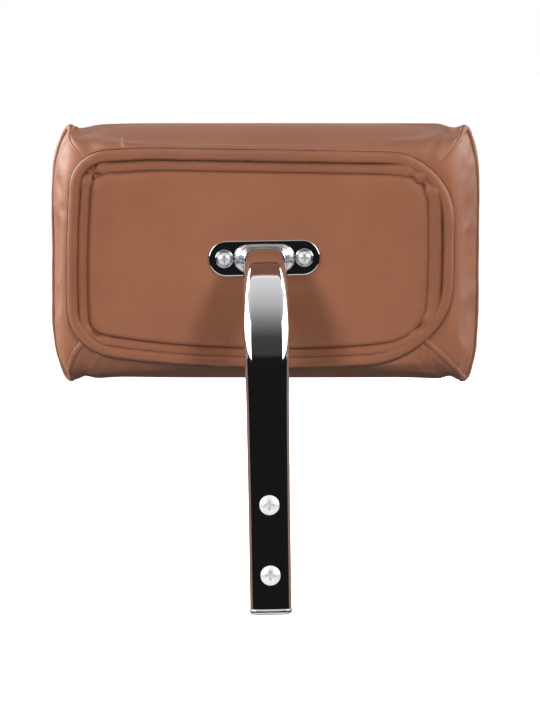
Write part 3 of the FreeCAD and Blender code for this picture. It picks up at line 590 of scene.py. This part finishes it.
LEATHER = leather_finish("brown_leather", (0.184, 0.068, 0.034), (0.222, 0.088, 0.046))
SEAM_LEATHER = leather_finish("brown_leather_rolls", (0.168, 0.062, 0.031), (0.206, 0.079, 0.041), 0.5)
# painted shade: near-black leather for the roll deep in the crease, standing in for the crease's shadow
# line
CREASE_SHADE_LEATHER = leather_finish("brown_leather_painted_crease_shade", (0.060, 0.024, 0.013), (0.082, 0.032, 0.017))
CHROME = chrome_finish("chrome_plate", (0.80, 0.80, 0.81), 0.05, 0.05)
CAP_CHROME = chrome_finish("chrome_cap", (0.78, 0.78, 0.78), 0.10, 0.08)
WELD_CHROME = metal_finish("chromed_weld", (0.76, 0.76, 0.77), (0.86, 0.86, 0.87), 0.17, 0.9, 0.06)
BRIGHT_STEEL = metal_finish("bright_screw_steel", (0.78, 0.79, 0.80), (0.88, 0.89, 0.90), 0.30, 0.5)
WASHER_ZINC = metal_finish("zinc_plated_washers", (0.52, 0.54, 0.58), (0.66, 0.68, 0.72), 0.22, 1.0)
ZINC = metal_finish("zinc_plated_steel", (0.58, 0.60, 0.64), (0.74, 0.76, 0.80), 0.34, 0.6)
DARK_STEEL = metal_finish("dark_steel", (0.20, 0.20, 0.21), (0.32, 0.32, 0.33), 0.4, 1.0)
PLYWOOD = grained_finish("plywood", (0.42, 0.26, 0.13), (0.62, 0.43, 0.25), 40.0, (1.0, 6.0, 14.0), 0.6,
                         0.3, 0.3)
HARDBOARD = grained_finish("hardboard", (0.16, 0.09, 0.05), (0.25, 0.15, 0.09), 400.0, None, 0.7, 0.2, 0.2)
PLASTIC = grained_finish("clip_plastic", (0.55, 0.55, 0.52), (0.66, 0.66, 0.63), 500.0, None, 0.4, 0.1, 0.1)

NODE_FINISHES = (
    (CAP_CHROME, ("tube_end_plug",)),
    (CHROME, ("mounting_plate",)),
    (DARK_STEEL, ("crush_sleeve_upper", "crush_sleeve_lower")),
    (BRIGHT_STEEL, ("back_screw_upper", "back_screw_lower")),
    (WASHER_ZINC, ("lock_washer_left", "lock_washer_right")),
    (ZINC, ("plate_bolt_left", "plate_bolt_right", "tee_nut_left", "tee_nut_right", "staples")),
    (PLYWOOD, ("main_board",)),
    (HARDBOARD, ("panel_board",)),
    (PLASTIC, ("panel_clip_1", "panel_clip_2", "panel_clip_3", "panel_clip_4")),
)


def finish_nodes():
    """Gives the CAD nodes that stay their finishes."""
    for finish, names in NODE_FINISHES:
        for name in names:
            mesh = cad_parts[name].data
            mesh.materials.clear()
            mesh.materials.append(finish)
            for face in mesh.polygons:
                face.material_index = 0


# ---------------- tube

def tube_line():
    """Centres and rearward directions of the tube's sections, from its cut end round to the plate."""
    start_y = TUBE_LOW[1] + TUBE_DEPTHS[0] / 2
    bend_y, bend_z = start_y + BEND_RADIUS, TUBE_HIGH[2] - TUBE_DEPTHS[0] / 2 - BEND_RADIUS
    line = [(start_y, z, 0.0) for z in np.arange(TUBE_LOW[2], bend_z, TUBE_STEP)]
    for turn in np.linspace(0.0, math.pi / 2, int(BEND_RADIUS * math.pi / 2 / TUBE_STEP)):
        line.append((bend_y - BEND_RADIUS * math.cos(turn), bend_z + BEND_RADIUS * math.sin(turn), turn))
    stub = np.linspace(bend_y, PLATE_LOW[1] + TUBE_SINK, STUB_SECTIONS + 1)[1:]
    line += [(y, bend_z + BEND_RADIUS, math.pi / 2) for y in stub]
    centres = np.array([(0.0, y, z) for y, z, _ in line])
    return centres, np.array([(0.0, -math.cos(turn), math.sin(turn)) for _, _, turn in line])


def flat_oval(width, depth):
    """Section of the tube: across and outward, counted round."""
    half, radius = (width - depth) / 2, depth / 2
    turn = np.linspace(-math.pi / 2, math.pi / 2, TUBE_POINTS, endpoint=False)
    flat = np.linspace(half, -half, TUBE_POINTS, endpoint=False)
    belly = TUBE_CROWN * (1 - (flat / half) ** 2)
    right = np.stack([half + radius * np.cos(turn), radius * np.sin(turn)], axis=1)
    top = np.stack([flat, radius + belly], axis=1)
    return np.vstack([right, top, -right, -top])


def stations_to_sections(values, along):
    """A measure given at the tube's stations, smoothly at every section."""
    return smoothed(np.interp(along, TUBE_STATIONS, values)[:, None], TUBE_ROUNDS, False)[:, 0]


def make_tube():
    """The chromed tube, a little wider and flatter where it was bent."""
    centres, back = tube_line()
    along = np.concatenate([[0.0], np.cumsum(np.linalg.norm(np.diff(centres, axis=0), axis=1))])
    widths = stations_to_sections(TUBE_WIDTHS, along)
    depths = stations_to_sections(TUBE_DEPTHS, along)
    rows = []
    for centre, rearward, width, depth in zip(centres, back, widths, depths):
        section = flat_oval(width, depth)
        rows.append(centre + section[:, :1] * np.array([1.0, 0.0, 0.0]) + section[:, 1:] * rearward)
    points = np.array(rows)
    made = piece_of("support_tube_chromed", points.reshape(-1, 3),
                    skin(len(rows), points.shape[1], False), CHROME)
    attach(made, BODY)
    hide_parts("support_tube")


def make_weld():
    """The weld, ground to a hollow flare and chromed with the rest."""
    shares = np.linspace(0.0, 1.0, WELD_ROWS)
    rows = []
    for share in shares:
        spread = 1 - math.sqrt(1 - (WELD_SWEEP * share) ** 2) - WELD_TUCK * (1 - share)
        width = TUBE_WIDTHS[-1] + 2 * WELD_SIDE * spread
        depth = TUBE_DEPTHS[-1] + 2 * WELD_UP * spread
        y = PLATE_LOW[1] - WELD_LENGTH * (1 - share) + WELD_SINK
        rows.append([(x, y, PLATE_Z + z) for x, z in flat_oval(width, depth)])
    points = np.array(rows).reshape(-1, 3)
    columns = len(points) // WELD_ROWS
    ripple = WELD_RIPPLE * np.repeat(shares, columns) * wobble(points, WELD_RIPPLE_SIZE, seed=6.0)
    points += outward_of(points, 0.0, PLATE_Z) * ripple[:, None]
    made = piece_of("weld_flare", points, skin(WELD_ROWS, columns, False), WELD_CHROME)
    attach(made, BODY)
    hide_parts("weld_bead")


def make_washer(side):
    """Dished washer under a plate bolt's head, with a rolled edge."""
    low, high = box_of(f"flat_washer_{side}")
    x = (low[0] + high[0]) / 2
    rear, seat = PLATE_LOW[1] - WASHER_THICKNESS, PLATE_LOW[1] - WASHER_GAP
    profile = [(WASHER_BORE, rear + WASHER_DISH)]
    profile += [(WASHER_RADIUS - inset, rear + forward) for inset, forward in WASHER_EDGE]
    profile += [(WASHER_RADIUS, seat - WASHER_CHAMFER), (WASHER_RADIUS - WASHER_CHAMFER, seat)]
    profile.append((WASHER_BORE, seat))
    turn = np.linspace(0.0, 2 * math.pi, WASHER_SIDES, endpoint=False)
    rows = [[(x + radius * math.cos(t), y, PLATE_Z + radius * math.sin(t)) for radius, y in profile]
            for t in turn]
    made = piece_of(f"rolled_washer_{side}", np.array(rows).reshape(-1, 3),
                    skin(WASHER_SIDES, len(profile), True), CHROME)
    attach(made, BODY)
    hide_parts(f"flat_washer_{side}")


# ---------------- rear of the pillow

def rounded_outline(half_width, half_height, corners):
    """Closed line round a rectangle whose corners differ, in the plane seen from behind."""
    signs = ((-1, 1), (1, 1), (1, -1), (-1, -1))
    starts = (180.0, 90.0, 0.0, -90.0)
    line = []
    for (sx, sz), start, radius in zip(signs, starts, corners):
        for angle in np.radians(np.linspace(start, start - 90.0, ARC_POINTS)):
            line.append((sx * (half_width - radius) + radius * math.cos(angle), 0.0,
                         sz * (half_height - radius) + radius * math.sin(angle)))
    return resampled(np.array(line), OUTLINE_POINTS, True)


def sagged(line, half_width, half_height):
    """Lets the lower edge and the sides bow out and the upper left corner droop."""
    x, z = line[:, 0] / half_width, line[:, 2] / half_height
    moved = line.copy()
    low = np.clip(-z, 0.0, None)
    moved[:, 2] += BOTTOM_BOW * low * np.abs(x) ** BOTTOM_BOW_POWER
    moved[:, 0] -= SIDE_BOW * x * z * z
    droop = smooth_step(-x, DROOP_START, 1.0) * np.clip(z, 0.0, None)
    moved[:, 2] -= CORNER_DROOP * droop
    return moved


def rear_outline(half_width, half_height, corners, rise, shift, y):
    """Closed line in the rear of the pillow, sagged, raised, leaned and shifted with it."""
    line = sagged(rounded_outline(half_width, half_height, corners), half_width, half_height)
    line[:, 1] = y
    line[:, 2] += REAR_Z + rise
    return leaned(line, PILLOW_SHIFT + REAR_SHIFT + shift, PILLOW_LEAN + REAR_LEAN)


def half_sizes(low, high, change, outset):
    """Half the width and height of a stuffed outline, from the box of its flat pattern."""
    return [(high[axis] - low[axis] + grown) / 2 + outset for axis, grown in zip((0, 2), change)]


def rim_outline(inset, y):
    """Line inside the rim's outer outline by that inset."""
    halves = half_sizes(RIM_LOW, RIM_HIGH, RIM_SIZE_CHANGE, -inset)
    corners = [max(radius - inset, RIM_LEAST_CORNER) for radius in RIM_CORNERS]
    return rear_outline(*halves, corners, RIM_RISE, 0.0, y)


def panel_outline(outset, y):
    """Line outside the rear panel's edge by that outset."""
    halves = half_sizes(PANEL_LOW, PANEL_HIGH, PANEL_SIZE_CHANGE, outset)
    corners = [radius + outset for radius in PANEL_CORNERS]
    return rear_outline(*halves, corners, PANEL_RISE, PANEL_SHIFT, y)


def make_rim():
    """The outer roll, round the whole rear panel."""
    line = smoothed(rim_outline(RIM_RADIUS, RIM_LOW[1] + RIM_SEAT), RIM_ROUNDS, True)
    radius = RIM_RADIUS * uneven(line, RIM_UNEVENNESS)
    made = roll("rear_rim_roll", line, radius, outward_of(line), SEAM_LEATHER, True, sides=18)
    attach(made, BODY)
    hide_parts("rear_rim", "rear_rim_cord")


def make_crease_shade():
    """Dark roll deep in the crease round the outer roll: painted shade that stands in for the crease's
    shadow line.
    """
    line = smoothed(rim_outline(CREASE_INSET, RIM_LOW[1] + CREASE_DEPTH), RIM_ROUNDS, True)
    radius = CREASE_RADIUS * uneven(line, CREASE_UNEVENNESS)
    made = roll("rim_crease_painted_shade", line, radius, outward_of(line), CREASE_SHADE_LEATHER, True, sides=8)
    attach(made, BODY)


def make_welt():
    """The inner roll, gathered in at its corners."""
    line = smoothed(panel_outline(WELT_RADIUS, PANEL_LOW[1] + WELT_SEAT), WELT_ROUNDS, True)
    radius = WELT_RADIUS * uneven(line, WELT_UNEVENNESS)
    radius += WELT_RIGHT_SWELL * smooth_step(line[:, 0], *WELT_SWELL_REACH)
    for across, up, depth in WELT_PINCHES:
        corner = line[np.argmax(across * line[:, 0] + up * line[:, 2])]
        gap = np.linalg.norm(line - corner, axis=1)
        pinch = PINCH_DEPTH * np.exp(-((gap / PINCH_REACH) ** 2))
        gather = GATHER_SWELL * np.exp(-((gap / PINCH_REACH - GATHER_PLACE) ** 2))
        radius *= 1 + depth * (gather - pinch)
    made = roll("panel_welt_roll", line, radius, outward_of(line), SEAM_LEATHER, True, sides=14)
    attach(made, BODY)
    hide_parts("panel_welt", "panel_welt_cord")


def plate_distance(points):
    """How far points are from the bolted plate's outline, 0 under it."""
    half_height = (PLATE_HIGH[2] - PLATE_LOW[2]) / 2
    half_flat = (PLATE_HIGH[0] - PLATE_LOW[0]) / 2 - half_height
    across = np.clip(np.abs(points[:, 0]) - half_flat, 0.0, None)
    up = points[:, 2] - PLATE_Z
    return np.clip(np.hypot(across, up) - half_height, 0.0, None)


def make_panel():
    """The rear panel's leather over its padding, pressed in under the plate."""
    edge = smoothed(panel_outline(0.0, 0.0), WELT_ROUNDS, True)
    middle = np.mean(edge, axis=0)
    shares = np.linspace(1.0, 0.0, PANEL_RINGS + 1)[:-1]
    rows = np.array([middle + share * (edge - middle) for share in shares])
    points = np.vstack([rows.reshape(-1, 3), middle])
    share = np.append(np.repeat(shares, OUTLINE_POINTS), 0.0)
    tuck = PANEL_TUCK * smooth_step(share, PANEL_TUCK_START, 1.0)
    crown = PANEL_CROWN * (1 - share ** 3)
    plump = PANEL_LOW[1] - crown + PANEL_DENT * wobble(points, PANEL_DENT_SIZE, seed=12.0)
    press = 1 - smooth_step(plate_distance(points), 0.0, PLATE_PRESS)
    points[:, 1] = plump * (1 - press) + (PLATE_HIGH[1] + PLATE_GAP) * press + tuck
    faces = skin(len(rows), OUTLINE_POINTS, False)[:-2]
    last = (len(rows) - 1) * OUTLINE_POINTS
    faces += [(last + k, last + (k + 1) % OUTLINE_POINTS, len(points) - 1) for k in range(OUTLINE_POINTS)]
    made = piece_of("rear_panel_cushion", points, faces, LEATHER)
    fold(made, PANEL_FOLDS, REAR_Z)
    thick = made.modifiers.new("thickness", "SOLIDIFY")
    thick.thickness = PANEL_THICKNESS * MM
    thick.offset = -1.0
    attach(made, BODY)
    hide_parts("panel_cover", "panel_padding")


# ---------------- body of the pillow

def spaced(count):
    """Shares from -1 to 1, closer together towards the ends."""
    even = np.linspace(-1.0, 1.0, count + 1)
    return (1 - CORNER_PULL) * even + CORNER_PULL * np.sin(math.pi / 2 * even)


def ear_shape(distance, y):
    """Rise of an ear and the dip beside it, by the distance from the corner."""
    near = math.exp(-(((y - BODY_STATIONS[SEAM_STATION][0]) / EAR_DEPTH) ** 2))
    rise = EAR_RISE * np.exp(-((distance / EAR_REACH) ** 2))
    dip = DIP_FALL * np.exp(-(((distance - DIP_PLACE) / DIP_REACH) ** 2))
    return near * rise - dip


def drawn_to_rim(ring, y, half_width, half_height):
    """Brings a ring that is close to the rear into the rim's sagged and turned shape."""
    share = 1 - smooth_step(y, *REAR_REACH)
    moved = ring + share * (sagged(ring, half_width, half_height) - ring)
    moved[:, 2] += share * (REAR_Z + RIM_RISE - CENTRE_Z)
    return turned(moved, share * REAR_LEAN)


def station_ring(station):
    """Points round the pillow at one station, from the lower left corner, seen from behind."""
    y, inset_x, inset_z, radius = station
    back_y, seam_y = BODY_STATIONS[REAR_STATION][0], BODY_STATIONS[SEAM_STATION][0]
    share = min(max((y - back_y) / (seam_y - back_y), 0.0), 1.0)
    half_width, half_height = WRAP_HIGH[0] - inset_x, HALF_HEIGHT - inset_z
    bow_left = REAR_BOW + share * (EAR_INSET_LEFT - REAR_BOW)
    bow_right = REAR_BOW + share * (EAR_INSET_RIGHT - REAR_BOW)
    fall = REAR_FALL + share * (TOP_FALL - REAR_FALL)
    left, right, high = half_width - bow_left, half_width - bow_right, half_height - fall
    s, t = spaced(ACROSS), spaced(UP)
    x = np.where(s < 0, s * left, s * right)
    edge_gap = np.minimum(x + left, right - x)
    z = high + fall * (1 - np.abs(s) ** TOP_FLATNESS) + ear_shape(edge_gap, y)
    upper_z = z + TOP_CROWN * (1 - s * s)
    side_bow = 1 - np.abs(t) ** SIDE_FLATNESS
    corner_z = high + ear_shape(0.0, y)
    bottom = np.stack([x, np.full_like(x, y), -z], axis=1)
    right_side = np.stack([right + bow_right * side_bow, np.full_like(t, y), t * corner_z], axis=1)
    top = np.stack([x, np.full_like(x, y), upper_z], axis=1)[::-1]
    left_side = np.stack([-left - bow_left * side_bow, np.full_like(t, y), t * corner_z], axis=1)[::-1]
    ring = np.vstack([side[:-1] for side in (bottom, right_side, top, left_side)])
    ring = rounded_corners(ring, left, right, corner_z, radius)
    ring[:, 0] += REAR_SHIFT * (1 - share)
    return drawn_to_rim(ring, y, half_width, half_height)


def rounded_corners(ring, left, right, high, radius):
    """Pulls the points near a ring's corners in to an arc."""
    ring = ring.copy()
    for k, (x, _, z) in enumerate(ring):
        side = right if x > 0 else left
        over_x, over_z = abs(x) - (side - radius), abs(z) - (high - radius)
        if over_x > 0 and over_z > 0:
            reach = math.hypot(over_x, over_z)
            scale = min(1.0, max(over_x, over_z) / reach)
            ring[k, 0] = math.copysign(side - radius + over_x * scale, x)
            ring[k, 2] = math.copysign(high - radius + over_z * scale, z)
    return ring


def edge_place(i, j):
    """Place round the loop of a point on the grid's edge, i across and j up."""
    if j == 0:
        return i
    if i == ACROSS:
        return ACROSS + j
    if j == UP:
        return 2 * ACROSS + UP - i
    return LOOP - j


def fill_grid(ring):
    """Inner points of a grid that fills a ring, row by row upwards."""
    def edge(i, j):
        return ring[edge_place(i, j)]

    inner = []
    for j in range(1, UP):
        v = j / UP
        for i in range(1, ACROSS):
            u = i / ACROSS
            low = edge(i, 0) - (1 - u) * edge(0, 0) - u * edge(ACROSS, 0)
            high = edge(i, UP) - (1 - u) * edge(0, UP) - u * edge(ACROSS, UP)
            inner.append((1 - v) * low + v * high + (1 - u) * edge(0, j) + u * edge(ACROSS, j))
    return np.array(inner)


def grid_faces(ring_start, inner_start, flipped):
    """Quads of a filled grid."""
    def place(i, j):
        if i in (0, ACROSS) or j in (0, UP):
            return ring_start + edge_place(i, j)
        return inner_start + (j - 1) * (ACROSS - 1) + i - 1

    faces = []
    for j in range(UP):
        for i in range(ACROSS):
            face = (place(i, j), place(i + 1, j), place(i + 1, j + 1), place(i, j + 1))
            faces.append(tuple(reversed(face)) if flipped else face)
    return faces


def body_mesh():
    """Points and quads of the closed pillow before it is filled."""
    rings = [station_ring(station) for station in BODY_STATIONS]
    rear, front = fill_grid(rings[0]), fill_grid(rings[-1])
    roundness = (1 - (front[:, 0] / WRAP_HIGH[0]) ** 2) * (1 - (front[:, 2] / HALF_HEIGHT) ** 2)
    front[:, 1] += FRONT_CROWN * roundness
    points = np.vstack([*rings, rear, front])
    points[:, 2] += CENTRE_Z
    points = leaned(points)
    ring_total = len(rings) * LOOP
    faces = [tuple(reversed(face)) for face in skin(len(rings), LOOP, False)[:-2]]
    faces += grid_faces(0, ring_total, False)
    faces += grid_faces(ring_total - LOOP, ring_total + len(rear), True)
    return points, [tuple(reversed(face)) for face in faces]


def seam(high, low, step):
    """Points on one gusset seam, from the upper rim corner round to the lower one."""
    hips = range(1, SEAM_STATION)
    side = [SEAM_STATION * LOOP + (high + step * j) % LOOP for j in range(UP + 1)]
    return [k * LOOP + high for k in hips] + side + [k * LOOP + low for k in reversed(hips)]


def seam_places():
    """Points of the left and the right seam."""
    return seam(2 * ACROSS + UP, 0, 1), seam(ACROSS + UP, ACROSS, -1)


def fill_with_air(piece, pins):
    """Cloth simulation of the filling, with the pinned points held."""
    rest = np.array([vertex.co for vertex in piece.data.vertices])
    group = piece.vertex_groups.new(name="seams")
    group.add([int(k) for k in pins], 1.0, "REPLACE")
    cloth = piece.modifiers.new("fill", "CLOTH")
    for name, value in CLOTH.items():
        setattr(cloth.settings, name, value)
    cloth.settings.vertex_group_mass = group.name
    cloth.settings.effector_weights.gravity = 0.0
    scene = bpy.context.scene
    for step in range(1, FILL_FRAMES + 1):
        scene.frame_set(step)
    filled = piece.evaluated_get(bpy.context.evaluated_depsgraph_get()).to_mesh()
    moved = np.array([vertex.co for vertex in filled.vertices]) - rest
    piece.modifiers.remove(cloth)
    length = np.linalg.norm(moved, axis=1)
    limit = FILL_LIMIT * MM
    scale = np.where(length > 0, limit * np.tanh(length / limit) / np.maximum(length, 1e-9), 0.0)
    piece.data.vertices.foreach_set("co", (rest + moved * scale[:, None]).astype(np.float32).ravel())
    piece.data.update()
    scene.frame_set(1)


def refine(piece, levels):
    """Applies smooth subdivision. The first vertices stay those of the coarse mesh."""
    smooth = piece.modifiers.new("smooth", "SUBSURF")
    smooth.levels = smooth.render_levels = levels
    fine = bpy.data.meshes.new_from_object(piece.evaluated_get(bpy.context.evaluated_depsgraph_get()))
    piece.modifiers.remove(smooth)
    piece.data = fine


def fold(piece, folds, middle_z):
    """Presses folds into the leather that faces back."""
    count = len(piece.data.vertices)
    points, normals = np.zeros(count * 3), np.zeros(count * 3)
    piece.data.vertices.foreach_get("co", points)
    piece.data.vertices.foreach_get("normal", normals)
    points, normals = points.reshape(-1, 3) / MM, normals.reshape(-1, 3)
    flat = points[:, [0, 2]] - np.array([0.0, middle_z])
    rear = 1 - smooth_step(points[:, 1], *FOLD_FADE)
    depth = np.zeros(count)
    for start, end, width, sink in folds:
        start, end = np.array(start), np.array(end)
        along = np.clip((flat - start) @ (end - start) / np.sum((end - start) ** 2), 0.0, 1.0)
        gap = np.linalg.norm(flat - start - along[:, None] * (end - start), axis=1)
        depth += sink * np.exp(-((gap / width) ** 2)) * rear
    points -= normals * np.minimum(depth, DEEPEST_FOLD)[:, None]
    piece.data.vertices.foreach_set("co", (points * MM).ravel())
    piece.data.update()


def make_body():
    """The stuffed pillow: one leather body with two gusset seams."""
    points, faces = body_mesh()
    made = piece_of("pillow_cover", points, faces, LEATHER)
    left, right = seam_places()
    fill_with_air(made, sorted({*left, *right, *range(PINNED_RINGS * LOOP)}))
    refine(made, BODY_DIVISIONS)
    fold(made, FOLDS, CENTRE_Z)
    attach(made, BODY)
    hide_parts("cover_wrap", "cover_gusset_left", "cover_gusset_right", "wadding_layer", "foam_core")
    return made


def make_lips(body):
    """Turned seam edges round each gusset, thickest at the ears."""
    points = np.array([vertex.co for vertex in body.data.vertices]) / MM
    for name, places in zip(("gusset_seam_left", "gusset_seam_right"), seam_places()):
        ears = points[places[SEAM_STATION - 1]], points[places[-SEAM_STATION]]
        line = smoothed(resampled(points[places], LIP_POINTS, False), LIP_ROUNDS, False)
        gaps = np.min([np.linalg.norm(line - ear, axis=1) for ear in ears], axis=0)
        swell = LIP_EAR_SWELL * np.exp(-((gaps / LIP_EAR_REACH) ** 2))
        taper = 1.0
        for end, ear, thickness, start in ((line[0], ears[0], LIP_TOP_END, 0.0),
                                           (line[-1], ears[1], LIP_BOTTOM_END, LIP_BOTTOM_START)):
            way = np.linalg.norm(line - end, axis=1) / np.linalg.norm(ear - end)
            taper *= thickness + (1 - thickness) * smooth_step(way, start, 1.0)
        radius = LIP_RADIUS * taper * (swell + uneven(line, LIP_UNEVENNESS))
        made = roll(name, line, radius, outward_of(line), SEAM_LEATHER, False, sides=10)
        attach(made, BODY)


# ---------------- stage

def make_camera():
    """A long lens behind the headrest, a little above it."""
    low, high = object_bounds()
    camera = bpy.data.objects.new("camera", bpy.data.cameras.new("camera"))
    bpy.context.scene.collection.objects.link(camera)
    camera.location = Vector(CAMERA_PLACE) * MM
    camera.data.lens = CAMERA_LENS
    camera.rotation_mode = "QUATERNION"
    target = (low + high) / 2 + Vector((CAMERA_AIM_RIGHT * MM, 0.0, 0.0))
    aim = (target - camera.location).to_track_quat("-Z", "Y")
    camera.rotation_quaternion = aim @ Quaternion((0, 0, 1), -math.radians(CAMERA_ROLL))
    bpy.context.scene.camera = camera


def make_world():
    """White to the eye, and dimmer as a light, so that the soft boxes model the leather."""
    world = bpy.data.worlds.new("studio")
    bpy.context.scene.world = world
    world.use_nodes = True
    nodes, links = world.node_tree.nodes, world.node_tree.links
    background = nodes["Background"]
    seen = nodes.new("ShaderNodeLightPath")
    level = nodes.new("ShaderNodeMapRange")
    level.inputs["To Min"].default_value = WORLD_LIGHT
    level.inputs["To Max"].default_value = 1.0
    links.new(seen.outputs["Is Camera Ray"], level.inputs["Value"])
    links.new(level.outputs["Result"], background.inputs["Strength"])
    background.inputs["Color"].default_value = (*WHITE, 1.0)


def make_floor():
    """Plain pale floor that the camera sees and that lights nothing."""
    made = Finish("studio_floor")
    made.set(Base_Color=(0.9, 0.9, 0.9, 1.0), Roughness=0.9, Emission_Color=(*WHITE, 1.0),
             Emission_Strength=FLOOR_GLOW)
    reach, z = FLOOR_REACH, TUBE_LOW[2] - FLOOR_DROP
    corners = [(-reach, -reach, z), (reach, -reach, z), (reach, reach, z), (-reach, reach, z)]
    floor = piece_of("floor", corners, [(0, 1, 2, 3)], made.material)
    floor.visible_glossy = False
    floor.visible_diffuse = False


def make_soft_box(name, azimuth, elevation, distance, size, power, colour=WHITE):
    """Area light aimed at the pillow."""
    light = bpy.data.lights.new(name, "AREA")
    light.shape = "RECTANGLE"
    light.size, light.size_y = size
    light.energy = power
    light.color = colour
    made = bpy.data.objects.new(name, light)
    bpy.context.scene.collection.objects.link(made)
    a, e = math.radians(azimuth), math.radians(elevation)
    way = Vector((math.sin(a) * math.cos(e), -math.cos(a) * math.cos(e), math.sin(e)))
    middle = Vector((0.0, LIGHT_AIM_Y, CENTRE_Z)) * MM
    made.location = middle + way * distance
    made.rotation_mode = "QUATERNION"
    made.rotation_quaternion = (-way).to_track_quat("-Z", "Y")
    made.visible_glossy = False
    made.visible_camera = False


def dome_angles(made):
    """x on the dome, and in radians its climb from behind over the top, its side and its rise."""
    split = made.nodes.new("ShaderNodeSeparateXYZ")
    made.link(made.places, split.inputs[0])
    x, y, z = split.outputs
    rearward = made.op("MULTIPLY", y, -1.0)
    squares = (made.op("MULTIPLY", x, x), made.op("MULTIPLY", y, y))
    level = made.op("SQRT", made.op("ADD", *squares))
    climb = made.op("ARCTAN2", z, rearward)
    side = made.op("ARCTAN2", made.op("ABSOLUTE", x), rearward)
    return x, climb, side, made.op("ARCTAN2", z, level)


def window(made, side, rise, limits):
    """1 inside a window of the dome, else 0."""
    return made.op("MULTIPLY", made.between(side, *limits[:2]), made.between(rise, *limits[2:]))


def dome_colour(made):
    """Dark low behind the camera, bright overhead, a tall box on each side, and the chair in front."""
    x, climb, side, rise = dome_angles(made)
    colour = made.ramp(made.op("DIVIDE", climb, math.pi), DOME_RAMP)
    boxes = made.op("MULTIPLY", window(made, side, rise, SIDE_WINDOW), SIDE_LEVEL)
    left_extra = made.op("MULTIPLY", made.op("LESS_THAN", x, 0.0), LEFT_FLANK_EXTRA)
    flank_level = made.op("ADD", FLANK_LEVEL, left_extra)
    flanks = made.op("MULTIPLY", window(made, side, rise, FLANK_WINDOW), flank_level)
    below = made.op("LESS_THAN", rise, math.radians(LOW_GLOW_TOP))
    for glow in (flanks, made.op("MULTIPLY", below, LOW_GLOW)):
        boxes = made.op("ADD", boxes, glow)
    colour = made.blend("ADD", 1.0, colour, boxes)
    chair = window(made, side, rise, CHAIR_WINDOW)
    colour = made.blend("MIX", chair, colour, CHAIR_COLOUR)
    straight_on = made.op("GREATER_THAN", side, math.radians(CHAIR_SHADE_START))
    return made.blend("MIX", made.op("MULTIPLY", chair, straight_on), colour, CHAIR_SHADE)


def make_reflections():
    """The dome that only reflections see."""
    made = Finish("studio_reflections")
    made.nodes.remove(made.shader)
    made.material.cycles.emission_sampling = "NONE"
    emission = made.nodes.new("ShaderNodeEmission")
    made.link(dome_colour(made), emission.inputs["Color"])
    made.link(emission.outputs[0], made.nodes["Material Output"].inputs["Surface"])
    bpy.ops.mesh.primitive_uv_sphere_add(segments=64, ring_count=32, radius=DOME_RADIUS,
                                         location=DOME_MIDDLE)
    dome = bpy.context.active_object
    dome.name = "reflection_dome"
    dome.data.materials.append(made.material)
    for ray in ("camera", "diffuse", "transmission", "volume_scatter", "shadow"):
        setattr(dome, f"visible_{ray}", False)


make_camera()
make_world()
make_floor()
for box, settings in SOFT_BOXES.items():
    make_soft_box(box, *settings)
make_reflections()
finish_nodes()
make_tube()
make_weld()
for side in ("left", "right"):
    make_washer(side)
make_rim()
make_crease_shade()
make_welt()
make_panel()
make_lips(make_body())
bpy.context.scene.view_settings.view_transform = "Standard"
